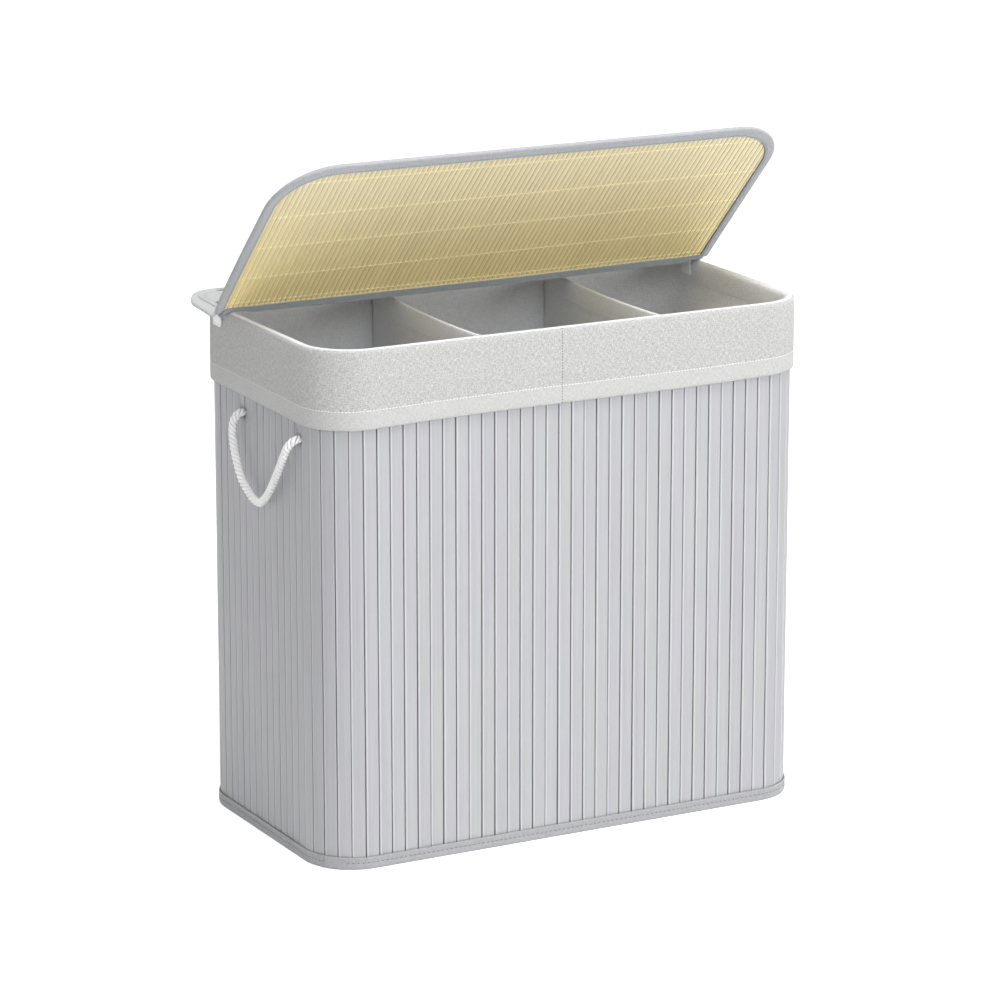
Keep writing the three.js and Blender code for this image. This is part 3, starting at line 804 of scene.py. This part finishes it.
def lap(name, start, end, profile, material, thickness):
    """A cloth end lapped over the rest of a band, from start to end round the wall."""
    place, facing, at = wall_ring(0.0015)
    keep = (at[:-1] >= start) & (at[:-1] <= end)
    section = np.array(profile, float) / 1000
    points = carried(place[keep], facing[keep], section, section[:, :1])
    made = grid_piece(name, points, at[:-1][keep], lengths(section), material)
    return thicken(made, thickness)


lap_profile = [(1.0, 0.5), (1.9, 0.9), (2.45, 2.4), (2.6, 4.6), (2.5, 6.8), (2.2, 8.6),
               (2.45, 10.4), (2.5, 12.6), (2.4, 14.8), (2.1, 15.9)]
hem_end = lap("hem_end", 1.5915, 1.6197, lap_profile, HEM_TAPE, thickness=0.0007)
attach(hem_end, "basket")


def panel(name, ring, rows, heights, material, thickness):
    """A cloth panel inside a ring, from its edge in to its middle; heights gives z."""
    place, _, at = ring
    centre, count = place.mean(0), len(place)
    shares = np.linspace(1, 0, rows + 1)[:-1]
    points = np.empty((rows, count, 3))
    points[..., :2] = centre + shares[:, None, None] * (place - centre)[None]
    points[..., 2] = heights(points[..., :2])
    flat_points = np.vstack([points.reshape(-1, 3), [[*centre, heights(centre)]]])
    faces, _ = sheet_grid(points, at, np.arange(rows), ring=True)
    last, middle = (rows - 1) * count, rows * count
    fan = [[last + k, last + (k + 1) % count, middle] for k in range(count)]
    faces = faces.tolist() + fan
    corners = np.array([flat_points[v, :2] for face in faces for v in face])
    return thicken(piece(name, flat_points, faces, material, corners), thickness)


def base_heights(p):
    return 0.0006 + 0.0001 * np.sin(60 * p[..., 0])


base_ring = box_ring(HALF_X, HALF_Y, BEND, inset=0.0055, spacing=0.006)
base = panel("base_cover", base_ring, 24, base_heights, HEM_TAPE, thickness=0.0009)
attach(base, "basket")
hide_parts("base_cloth")


def hook_strip(side, angle, reach, length):
    """A hook tape sewn outside the wall, its face fuzzy with hooks."""
    u = np.linspace(-length / 2, length / 2, 60)
    v = np.linspace(0.5480, 0.5730, 9)
    ways = np.array([math.cos(angle), math.sin(angle)])
    beside = np.array([-ways[1], ways[0]])
    points = np.empty((len(v), len(u), 3))
    crown = 0.0003 * np.sin(np.linspace(0, math.pi, len(v)))[:, None]
    swell = crown + 0.0001 * np.sin(220 * u)[None]
    points[..., :2] = (reach + 0.0011 + swell)[..., None] * ways + u[None, :, None] * beside
    points[..., 2] = v[:, None]
    strip = thicken(grid_piece(f"hook_strip_{side}", points, u, v, HOOKS), 0.0015)
    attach(strip, "basket")
    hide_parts(f"hook_tape_{side}")


for k, side in enumerate(SIDES):
    reach, straight = ((HALF_Y, 0.536), (HALF_X, 0.231))[k % 2]
    hook_strip(side, (k - 1) * TURN / 4, reach, 0.7 * straight)

carried_over = {"base_board": BOARD, "rim_strip_front": STEEL, "rim_strip_back": STEEL}
for name, material in carried_over.items():
    for slot in nodes[name].material_slots:
        slot.material = material

# ------------------------------------------------------------- the rope handles

ROPE_RADIUS, ROPE_LAY = 0.0051, 0.0174
OUTSIDE_X, INSIDE_X, KNOT_X = 0.3384, 0.3372, 0.3190
ROPE_ROUTE = [(0.0000, 0.0000, 0.0000), (0.0045, 0.0005, 0.0095), (0.0063, 0.0005, 0.0240),
              (0.0070, -0.0040, 0.0380), (0.0070, -0.0095, 0.0520), (0.0066, -0.0170, 0.0660),
              (0.0060, -0.0255, 0.0775), (0.0050, -0.0360, 0.0860), (0.0042, -0.0470, 0.0925),
              (0.0034, -0.0585, 0.0960), (0.0030, -0.0695, 0.0950), (0.0032, -0.0805, 0.0885),
              (0.0036, -0.0925, 0.0785), (0.0041, -0.1050, 0.0660), (0.0046, -0.1170, 0.0520),
              (0.0050, -0.1290, 0.0370), (0.0050, -0.1400, 0.0220), (0.0040, -0.1495, 0.0090),
              (0.0000, -0.1550, 0.0000)]


def rope_handle(side, sign):
    """The rope from behind one hole, down in a loop, and back in at the other. Its route is
    (outwards, along the wall, down) from the hole at the back."""
    points = [(sign * (OUTSIDE_X + out), HOLE_BACK + along, HOLE_Z - down)
              for out, along, down in ROPE_ROUTE]
    points[0] = (sign * INSIDE_X, HOLE_BACK, HOLE_Z - 0.0012)
    points[-1] = (sign * INSIDE_X, HOLE_FRONT, HOLE_Z - 0.0012)
    head = [(sign * KNOT_X, HOLE_BACK, HOLE_Z + 0.0004),
            (sign * 0.3285, HOLE_BACK, HOLE_Z + 0.0006)]
    tail = [(x, HOLE_FRONT, z) for x, _, z in head[::-1]]
    line = smooth_line(head + points + tail, 0.0012)
    rope = twisted_rope(f"rope_{side}", line, ROPE_RADIUS, -sign * ROPE_LAY)
    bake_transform(rope)
    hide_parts(f"rope_handle_{side}")


def rope_knot(name, sign, y):
    """The rope's end tied behind the wall, pulled up tight."""
    t = np.linspace(0.15 * TURN, 1.08 * TURN, 90)
    flat, deep = 0.00205, 0.0026
    loop = np.column_stack([-np.sin(3 * t) * deep, (np.sin(t) + 2 * np.sin(2 * t)) * flat,
                            (np.cos(t) - 2 * np.cos(2 * t)) * flat])
    line = loop + (sign * KNOT_X, y, HOLE_Z)
    return twisted_rope(name, line, 0.0040, 0.0150, sides=8)


rope_handle("left", -1)
rope_handle("right", 1)
rope_ends = [(sign, y) for sign in (-1, 1) for y in (HOLE_BACK, HOLE_FRONT)]
knots = joined("rope_knots", [rope_knot(f"knot_{k}", *end) for k, end in enumerate(rope_ends)])
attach(knots, "basket")
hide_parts(*[f"rope_knot_{side}_{end}" for side in ("left", "right")
                     for end in ("back", "front")])

# ------------------------------------------------------------------- the liner

BAG_X, BAG_Y, BAG_BEND = 0.3093, 0.1701, 0.0546
LINER_THICK = 0.0012
DIVIDERS = {"left": -0.1055, "right": 0.1385}
DIVIDER_REACH, DIVIDER_SEAM = 0.1694, 0.5990
DIVIDER_HEM = [(-0.0006, 0.6015), (-0.00085, 0.606), (-0.00085, 0.6180), (-0.0008, 0.6265),
               (-0.0005, 0.6286), (0.0, 0.6292), (0.0005, 0.6286), (0.0008, 0.6265),
               (0.00085, 0.6180), (0.00085, 0.6060), (0.0008, 0.6012)]


def bag_ring(inset, spacing):
    return box_ring(BAG_X, BAG_Y, BAG_BEND, inset, spacing)


def liner_walls():
    """The bag's walls. They hang slack between the floor and the rim, least where a divider is
    sewn on, and widen sideways above the rope knots."""
    place, facing, at = bag_ring(inset=0.0, spacing=0.0045)
    heights = np.concatenate([np.linspace(0.0062, 0.5400, 90), np.linspace(0.5460, 0.6150, 21)])
    rows = heights[:, None]
    slack = smooth(rows, 0.007, 0.10) * (1 - smooth(rows, 0.50, 0.61))
    off_seam = np.minimum(*(np.abs(place[:, 0] - x) for x in DIVIDERS.values()))
    seams = 0.4 + 0.6 * smooth(off_seam, 0.016, 0.024)
    uneven = ripple(at[None, :-1], at[-1], rows, waves=9, seed=21)
    inward = 0.0022 * slack * seams * (1 + uneven * 0.8)
    inward = np.clip(inward, 0, None) - 0.0006 * smooth(rows, 0.608, 0.613)
    points = carried(place, facing, np.column_stack([heights, heights]), -inward)
    points[..., 0] *= 1 + 0.0430 * smooth(rows, 0.545, 0.605)
    made = grid_piece("liner_walls", points, at, heights, LINER, ring=True)
    return thicken(made, LINER_THICK), (float(at[-1]), float(heights[-1] - heights[0]))


walls, cut_size = liner_walls()
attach(walls, "liner")
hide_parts(*[f"liner_wall_{side}" for side in SIDES])


def floor_heights(p):
    x, y = p[..., 0], p[..., 1]
    return 0.0064 + 0.0004 * np.sin(31 * x + 2 * y) * np.cos(27 * y)


floor_ring = bag_ring(inset=0.0009, spacing=0.006)
floor_cloth = panel("liner_base", floor_ring, 28, floor_heights, LINER, thickness=0.0011)
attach(floor_cloth, "liner")
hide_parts("liner_floor")


def divider(side, sign):
    """A cloth wall across the bag, its top turned down and sewn as a hem. It is sewn in a little
    askew, further right at the back. Gives its hem's two rows of stitches."""
    rise = [*np.linspace(0.0076, 0.5960, 70), DIVIDER_SEAM]
    section = np.array([(0.0, z) for z in rise] + DIVIDER_HEM)
    along = np.linspace(-DIVIDER_REACH, DIVIDER_REACH, 70)
    free = np.cos(along / DIVIDER_REACH * math.pi / 2)[None] ** 0.6
    askew = -0.0039 - 0.045 * along + 0.285 * along ** 2
    rows = section[:, 1:]
    sway = sign * 0.0016 * np.sin(9 * along + 1.2 * sign)[None] * smooth(rows, 0.05, 0.6)
    folds = 0.0022 * np.sin(7.5 * rows + 5 * along[None] + sign)
    sway = sway + folds * smooth(rows, 0.01, 0.12) * (1 - smooth(rows, 0.50, 0.61))
    points = np.empty((len(section), len(along), 3))
    points[..., 0] = DIVIDERS[side] + section[:, :1] + sway * free + askew[None]
    points[..., 1] = -along[None]
    points[..., 2] = rows - 0.0030 * smooth(rows, 0.35, 0.60) * free
    cut = lengths(section)
    made = grid_piece(f"divider_cloth_{side}", points, along + 0.17, cut, LINER)
    thicken(made, LINER_THICK)
    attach(made, "liner")
    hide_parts(f"divider_{side}")
    row = points[len(rise) + 1][4:-4] - (0.0009, 0, -0.0003)
    return [(row, False), (row + (0.0023, 0, 0), False)]


divider_rows = divider("left", -1) + divider("right", 1)

cuff_profile = [(2.65, 564.5), (2.65, 552), (2.65, 547), (2.8, 545.0), (3.1, 544.4), (3.4, 545.0),
                (3.55, 547), (3.6, 552), (3.6, 559), (3.4, 563.5), (3.3, 565.2), (3.4, 567),
                (3.6, 571), (3.65, 585), (3.6, 600), (3.55, 612), (3.5, 622), (3.4, 628),
                (3.2, 631.6), (2.4, 633.3), (1.2, 633.9), (-1.0, 634.0), (-4.2, 633.9),
                (-5.6, 633.3), (-6.2, 632.0), (-6.4, 629), (-6.5, 625), (-6.5, 618)]
cuff_outside = cuff_profile[5:20]


def cuff_ease(round_, section):
    """The cuff stands off the wall here and there, most at its lower edge."""
    z = section[:, 1:]
    outer = smooth(section[:, :1], 0.0020, 0.0036)
    low = 1 - smooth(z, 0.560, 0.632)
    return outer * (0.0001 + 0.0003 * low) * (0.5 + ripple(round_, WALL_ROUND, z, waves=7, seed=8))


def cuff_dip(points):
    """The cuff hangs lower round the front-left corner and rides up at the front-right one."""
    x, y, z = points.T
    near_front = np.exp(-((y + 0.17) / 0.16) ** 2)
    left = np.exp(-((x + 0.33) / 0.13) ** 2) * near_front
    right = np.exp(-((x - 0.33) / 0.10) ** 2) * near_front
    dip = 0.0008 + 0.0042 * left - 0.0030 * right
    hung = points.copy()
    hung[:, 2] -= dip * np.clip((TOP - z) / 0.09, 0, 1.1) * (y < 0.17)
    return hung


cuff, cut_size = band("cuff_cloth", cuff_profile, CUFF, thickness=0.0008, wrinkle=cuff_ease)
reshape(cuff, cuff_dip)
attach(cuff, "liner")
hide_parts("cuff_left", "cuff_right")

fold_profile = [(-7.55, 604), (-7.9, 607), (-8.1, 611), (-8.2, 616), (-8.2, 622), (-8.05, 628),
                (-7.5, 631.6), (-6.3, 633.9), (-4.3, 634.6), (-1.0, 634.75), (0.8, 634.55),
                (1.6, 634.1)]
fold, cut_size = band("liner_fold", fold_profile, LINER, thickness=0.0005)
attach(fold, "liner")

SEAM_SHIFT = 0.0185
seams = []
for at in (WALL_ROUND / 2 + SEAM_SHIFT, WALL_ROUND - SEAM_SHIFT):
    seam = np.vstack([follow(x, z, 0.42, cuff_ease, at) for x, z in cuff_outside])
    seams.append((cuff_dip(seam), False))
cuff_row = cuff_dip(follow(3.3, 565.2, 0.45, cuff_ease))
cuff_stitches = sewn("cuff_stitches", [(cuff_row, True)], WHITE_THREAD,
                     pitch=0.0042, length=0.0030, thickness=0.0012)
seam_stitches = sewn("seam_stitches", seams, DARK_THREAD,
                     pitch=0.0034, length=0.0021, thickness=0.0010)
liner_stitches = sewn("liner_stitches", divider_rows, WHITE_THREAD,
                      pitch=0.0044, length=0.0030, thickness=0.0007)
for stitches, slot_name in ((cuff_stitches, "cuff_cloth"), (seam_stitches, "cuff_cloth"),
                            (liner_stitches, "liner_cloth")):
    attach(stitches, "liner")

# --------------------------------------------------------------------- the lid

LID_X, LID_SHIFT, LID_LOW = 0.3444, -0.0069, 0.6380
FRONT_LENGTH, FRONT_BEND, REAR_LENGTH, REAR_BEND = 0.2845, 0.077, 0.0995, 0.048
CREASE_Y, HINGE_Z = 0.085, 0.6447
OPEN = math.radians(44.7)
STRIP_COUNT, STRIP_GAP, STRIP_THICK = 99, 0.0007, 0.0026


def sag(x, held=0.0):
    """How far the crease hangs down along its length; held says how much the left clip stops
    it."""
    return 0.0006 + 0.0025 * (1 - smooth(x, 0.02, 0.30)) * (1 - held * smooth(-x, 0.25, 0.319))


def ear(x, start):
    """How far the lid's left end droops past the rim."""
    return 0.0088 * np.clip((-start - x) / (0.3513 - start), 0, 1.1) ** 1.4


def raise_front(points):
    """From the front panel lying shut to where it stands open, turned on the crease."""
    x, y = points[:, 0], points[:, 1] - CREASE_Y
    slack = sag(x) * np.exp(-np.abs(y) / 0.07)
    z = points[:, 2] - HINGE_Z - 0.7 * slack
    turned = points.copy()
    turned[:, 1] = CREASE_Y + y * math.cos(OPEN) + z * math.sin(OPEN)
    turned[:, 2] = HINGE_Z - y * math.sin(OPEN) + z * math.cos(OPEN)
    turned[:, 2] -= 0.5 * slack + 0.65 * ear(x, 0.333) * np.exp(-np.abs(y) / 0.03)
    return turned


def droop(points):
    """The rear panel sags to the crease, and its left end bends down past the rim."""
    bent = points.copy()
    x, away = points[:, 0], np.clip(points[:, 1] - CREASE_Y, 0, 1)
    end = ear(x, 0.3368) * (0.3 + 0.9 * np.exp(-away / 0.05))
    bent[:, 2] -= sag(x, 1.0) * np.exp(-away / 0.012) + end
    return bent


def laid(points):
    """From the lid's own middle to where it lies on the rim."""
    return points + (LID_SHIFT, CREASE_Y, LID_LOW)


class Lid:
    """One panel of the lid, lying shut: towards is -1 for the front panel and 1 for the rear."""

    def __init__(self, name, towards, length, radius, settle):
        self.name, self.towards = name, towards
        self.length, self.radius = length, radius
        self.settle = settle
        near, far = sorted((0.0015 * towards, length * towards))
        self.box = (-LID_X, LID_X, near, far)
        sharp = 0.005
        radii = [radius, sharp, sharp, radius] if towards < 0 else [sharp, radius, radius, sharp]
        self.ring = rounded_box(*self.box, radii, 0.003)

    def in_place(self, points):
        return self.settle(laid(points))

    def inset_ring(self, inset):
        """The panel's outline moved inwards: a third as far at the crease, and further at the
        front panel's far edge, where the binding is wider."""
        place, facing, _ = self.ring
        x0, x1, y0, y1 = self.box
        crease, far = 0.33, 1.0 if self.towards > 0 else 1.33
        share = np.where(facing[:, 1] * self.towards < 0, crease, far)
        x = place[:, 0] - inset * facing[:, 0]
        y = place[:, 1] - inset * (facing[:, 1] * share)
        low, high = (crease, far) if self.towards > 0 else (far, crease)
        return np.column_stack([np.clip(x, x0 + inset, x1 - inset),
                                np.clip(y, y0 + low * inset, y1 - high * inset)])

    def loop(self, inset, z):
        ring = self.inset_ring(inset)
        return self.in_place(np.column_stack([ring, np.full(len(ring), z)]))

    def binding(self):
        """Tape folded round the panel's edge: (inwards, height) in millimetres."""
        section = [(12.0, 0.75), (11.2, 0.55), (9.6, 0.72), (7.0, 0.5), (3.6, 0.55), (1.7, 0.8),
                   (0.8, 1.6), (0.55, 3.0), (0.8, 4.4), (1.7, 5.2), (3.6, 5.45), (7.0, 5.5),
                   (9.6, 5.28), (11.2, 5.45), (12.0, 5.25)]
        section = np.array(section) / 1000
        at = self.ring[2]
        own = ripple(at[:-1], at[-1], 0.3, waves=9, seed=5) * 0.00022
        rows = []
        for inset, z in section:
            puff = own * math.sin(math.pi * min(inset, 0.010) / 0.010)
            rows.append(np.column_stack([self.inset_ring(inset), z + np.sign(z - 0.003) * puff]))
        cut = lengths(section)
        tape = LID_TAPE if self.towards < 0 else END_PATCH
        made = grid_piece(f"lid_{self.name}_tape", np.array(rows), at, cut, tape, ring=True)
        weld = made.modifiers.new("weld", "WELD")
        weld.merge_threshold = 0.00002
        thicken(made, 0.0010)
        reshape(made, self.in_place)
        return made, (float(at[-1]), float(cut[-1]))

    def far_edge(self, x):
        bow = np.clip(np.abs(x) - (LID_X - self.radius), 0, self.radius)
        return self.length - self.radius + np.sqrt(np.clip(self.radius ** 2 - bow ** 2, 0, None))

    def strips(self):
        """Thin bamboo strips from the crease to the far edge, side by side."""
        side, near, end, turned = 0.0024, 0.0034, 0.0026, 0.0008
        reach = LID_X - side
        step = 2 * reach / STRIP_COUNT
        x = -reach + step * (np.arange(STRIP_COUNT) + 0.5)
        far = self.far_edge(np.abs(x) + side) - end
        middle = self.towards * ((far + near) / 2)
        places = np.column_stack([x, middle, np.full(STRIP_COUNT, 0.003)])
        turns = np.zeros((STRIP_COUNT, 3))
        turns[:, 0] = TURN / 4
        turns[:, 2] = chance.normal(0, turned, STRIP_COUNT)
        tones = np.clip(chance.normal(0.5, 0.25, STRIP_COUNT), 0, 1)
        made = slats_on(f"lid_{self.name}_strips", places, turns, far - near, tones, STRIPS,
                        Width=step - STRIP_GAP, Thickness=STRIP_THICK, Edge=0.0007,
                        Edge_Steps=4, Steps=22, Bow=0.0004)
        return reshape(made, self.in_place)

    def thread_rows(self, distances):
        """Cream thread over and under the strips, a stitch on each."""
        lines = []
        half = np.linspace(0, LID_X - 0.012, 400)
        for distance in distances:
            reach = half[self.far_edge(half) > distance + 0.004].max() - 0.001
            for z in (0.00155, 0.00445):
                line = [[x, self.towards * distance, z] for x in np.linspace(-reach, reach, 60)]
                lines.append((self.in_place(np.array(line)), False))
        return sewn(f"lid_{self.name}_threads", lines, CREAM_THREAD,
                    pitch=0.00691, length=0.0066, thickness=0.0014)

    def piping(self):
        """A thin cord where the binding ends on the strips: white at the crease, grey
        elsewhere."""
        cords = []
        x = np.linspace(-LID_X + 0.012, LID_X - 0.012, 140)
        for z in (0.0011, 0.0049):
            line = [(here, 0.0045 * self.towards, z) for here in x]
            line = self.in_place(np.array(line))
            cords.append(tube("cord", line, 0.0006, 6, WHITE_THREAD))
            ring = self.inset_ring(0.0124)
            ring = ring[np.abs(ring[:, 1]) > 0.0060]
            gap = np.abs(np.diff(ring[:, 0], append=ring[0, 0])) > 0.3
            ring = np.roll(ring, -1 - int(np.argmax(gap)), 0) if gap.any() else ring
            apart = np.append(np.linalg.norm(np.diff(ring, axis=0), axis=1) > 0.0005, True)
            line = self.in_place(np.column_stack([ring[apart], np.full(apart.sum(), z)]))
            cords.append(tube("cord", line, 0.0005, 6, GREY_THREAD))
        return joined(f"lid_{self.name}_piping", cords)

    def edge_stitches(self):
        lines = [(self.loop(0.0098, z), True) for z in (0.00005, 0.00595)]
        return sewn(f"lid_{self.name}_stitches", lines, GREY_THREAD,
                    pitch=0.0040, length=0.0030, thickness=0.0007)

    def build(self, distances):
        strips = self.strips()
        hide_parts(f"lid_{self.name}_mat")
        tape, cut_size = self.binding()
        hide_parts(f"lid_{self.name}_binding")
        pieces = {"lid_mat": [strips, self.thread_rows(distances)],
                  "lid_binding": [tape, self.edge_stitches(), self.piping()]}
        for slot_name, several in pieces.items():
            for made in several:
                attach(made, f"lid_{self.name}")


front = Lid("front", -1, FRONT_LENGTH, FRONT_BEND, raise_front)
front.build([0.0062, 0.0138, 0.064, 0.126, 0.188, 0.254])
rear = Lid("rear", 1, REAR_LENGTH, REAR_BEND, droop)
rear.build([0.0062, 0.0138, 0.0560, 0.0800])


def end_patch(side, sign):
    """Cloth sewn over each end of the rear panel, where the clip is fixed."""
    edge, seam, straight = 0.0085, 0.0070, REAR_LENGTH - REAR_BEND
    span, rise = np.linspace(edge, 0.0460, 14), np.linspace(0, 1, 26)
    bow = np.minimum(np.clip(REAR_BEND - span, 0, REAR_BEND), REAR_BEND - edge)
    reach = straight + np.sqrt((REAR_BEND - edge) ** 2 - bow ** 2)
    x = (LID_X - span)[None] + 0 * rise[:, None]
    y = seam + rise[:, None] * (reach - seam)[None]
    beyond_x, beyond_y = np.clip(x - LID_X + REAR_BEND, 0, 1), np.clip(y - straight, 0, 1)
    inset = REAR_BEND - np.hypot(beyond_x, beyond_y)
    height = 0.0050 + 0.0013 * (1 - smooth(inset, 0.0105, 0.0140))
    height = height + 0.0002 * np.sin(150 * x + 90 * y)
    points = np.stack([sign * x, y, height], -1)
    patch = grid_piece(f"lid_end_patch_{side}", points, span, rise * 0.0835, END_PATCH,
                       flip=sign > 0)
    reshape(thicken(patch, 0.0007), rear.in_place)
    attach(patch, "lid_rear")
    rows = []
    for inset, turns in ((0.0150, 30), (0.0180, 30), (0.0430, 0)):
        line = [(LID_X - inset, 0.0085), (LID_X - inset, 0.030)]
        for turn in np.linspace(0, TURN / 4, turns):
            across, along = math.cos(turn), math.sin(turn)
            line.append((LID_X - REAR_BEND + (REAR_BEND - inset) * across,
                         straight + (REAR_BEND - inset) * along))
        if not turns:
            line.append((LID_X - inset, 0.085))
        row = np.array([(sign * x, y, 0.0055) for x, y in line])
        rows.append((rear.in_place(row), False))
    sewing = sewn(f"lid_end_stitches_{side}", rows, PALE_THREAD,
                  pitch=0.0036, length=0.0026, thickness=0.0007)
    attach(sewing, "lid_rear")


end_patch("left", -1)
end_patch("right", 1)

SLACK_LOOP = [(0.0, 0.0090, -0.0069), (0.0, 0.0040, -0.0071), (0.0, 0.0015, -0.0078),
              (0.0, 0.0005, -0.0090), (0.0, -0.0006, -0.0102), (0.0, -0.0022, -0.0108),
              (0.0, -0.0040, -0.0104), (0.0, -0.0052, -0.0090), (0.0, -0.0062, -0.0070),
              (0.0, -0.0070, -0.0048), (0.0, -0.0090, -0.0015)]


def slack_cloth():
    """The inner tape at the crease, long enough for the lid to fold right back; opened part way
    it hangs as a loop between the two panels' edges, and lies up on the rim at its ends."""
    across = np.linspace(-LID_X + 0.008, LID_X - 0.008, 150) + LID_SHIFT
    loop = smooth_line(SLACK_LOOP, 0.0008)
    y, z = loop[:, 1:2], loop[:, 2:]
    over_right = smooth(across, 0.306, 0.316)
    over_left = smooth(-across, 0.300, 0.318) * (1 - smooth(-across, 0.338, 0.345))
    over_rim = (over_right + over_left)[None]
    front = smooth(-y, -0.002, 0.007)
    pulled = front * sag(across)[None]
    hung = pulled - 0.0016 * over_rim + (1 - front) * sag(across, 1.0)[None]
    hung = hung + 0.8 * ear(across, 0.330)[None]
    deep = np.minimum(z + 0.0068, 0)
    points = np.zeros((len(loop), len(across), 3))
    points[..., 0] = across
    points[..., 1] = CREASE_Y + y - 0.7 * pulled * math.sin(OPEN)
    points[..., 2] = HINGE_Z + z - (0.5 + 0.5 * over_rim) * deep - hung
    cut = lengths(loop)
    made = thicken(grid_piece("lid_slack_cloth", points, across, cut, CREASE), 0.0006)
    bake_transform(made)


slack_cloth()


def crease_cloth():
    """A tape over the outside of both panels, folded at the crease."""
    fold, width = 0.0028, 0.0215
    across = np.linspace(-LID_X + 0.0145, LID_X - 0.0145, 120)
    leg = np.linspace(0.0035, width, 7)
    run = np.concatenate([-leg[::-1], np.linspace(-fold, fold, 9), leg])
    flat_points = np.zeros((len(run), len(across), 3))
    flat_points[..., 0] = across[None] + LID_SHIFT
    flat_points[..., 1] = CREASE_Y + run[:, None]
    flat_points[..., 2] = HINGE_Z + 0.00012 * np.sin(70 * across)[None] * np.cos(90 * run)[:, None]
    opened, shut = [settle(flat_points.reshape(-1, 3)).reshape(flat_points.shape)
                    for settle in (raise_front, droop)]
    share = 1 - smooth(run, -fold, fold)
    points = shut + share[:, None, None] * (opened - shut)
    made = thicken(grid_piece("lid_crease_cloth", points, across, run, CREASE), 0.0007)
    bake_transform(made)
    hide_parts("lid_crease_tape")


crease_cloth()

CLIP_Y, CLIP_HALF, CLIP_THICK = 0.104, 0.0108, 0.0021
CLIP_LINE = [(-0.0098, 0.6152), (-0.0092, 0.6190), (-0.0096, 0.6230), (-0.0097, 0.6330),
             (-0.0090, 0.6358), (-0.0070, 0.6365), (-0.002, 0.6366), (0.0030, 0.6365),
             (0.0050, 0.6358), (0.0058, 0.6330), (0.0059, 0.6240), (0.0056, 0.6190),
             (0.0066, 0.6152)]


def clip(side, sign):
    """A U of moulded plastic over the rim, its legs' tips turned out a little."""
    line = smooth_line([[sign * (HALF_X + x), 0, z] for x, z in CLIP_LINE], 0.0008)
    across = np.linspace(-CLIP_HALF, CLIP_HALF, 13)
    narrow = 1 - 0.10 * smooth(0.622 - line[:, 2], 0.0, 0.007)
    points = np.repeat(line[:, None], len(across), 1)
    points[..., 1] = CLIP_Y + across[None] * narrow[:, None]
    made = grid_piece(f"rim_clip_{side}", points, across, lengths(line), PLASTIC, flip=sign > 0)
    wall = made.modifiers.new("wall", "SOLIDIFY")
    wall.thickness, wall.offset = CLIP_THICK, 0
    edge = made.modifiers.new("edge", "BEVEL")
    edge.width, edge.segments, edge.angle_limit = 0.0006, 3, math.radians(50)
    applied(made)
    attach(made, "lid_rear")
    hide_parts(f"lid_clip_{side}")


clip("left", -1)
clip("right", 1)

# ----------------------------------------------------------------- the studio

def seen(graph):
    """One for what the camera sees, and what shows in metal or through glass; zero for other
    light."""
    camera_ray, glossy, through = [
        graph.node("ShaderNodeLightPath", None, None, f"Is {kind} Ray")
        for kind in ("Camera", "Glossy", "Transmission")]
    return graph.math("MAXIMUM", graph.math("MAXIMUM", camera_ray, glossy), through)


def lamp(name, place, aim, size, power):
    light = bpy.data.lights.new(name, "AREA")
    light.shape, light.size, light.energy = "DISK", size, power
    lit = placed(name, light)
    lit.location = place
    lit.rotation_euler = (Vector(aim) - Vector(place)).to_track_quat("-Z", "Y").to_euler()


matt = Finish("studio_floor", Roughness=0.9, Emission_Color=(1, 1, 1, 1))
matt.feed(matt.sockets["Emission Strength"], seen(matt) * 0.60)
far = 30
square = [(-far, -far, 0), (far, -far, 0), (far, far, 0), (-far, far, 0)]
ground = piece("ground", square, [(0, 1, 2, 3)], matt.finish(level(242, 242, 242)), flat=True)

world = bpy.data.worlds.new("studio")
scene.world = world
world.use_nodes = True
sky = Graph(world.node_tree)
sky.tree.nodes.clear()
glow = {"Color": (1, 1, 1, 1), "Strength": 0.50 + seen(sky) * 0.50}
sky.node("ShaderNodeOutputWorld", None, {0: sky.node("ShaderNodeBackground", None, glow)})

lamp("key", (-0.6, -4.2, 3.1), (0, 0, 0.35), size=2.0, power=34)
lamp("low", (1.6, -4.4, 1.0), (0, 0, 0.60), size=1.2, power=63)
lamp("side", (-4.0, 2.4, 1.9), (0, 0, 0.50), size=1.6, power=6)
lamp("overhead", (0.0, -1.0, 3.6), (0, 0, 0.5), size=1.8, power=88)
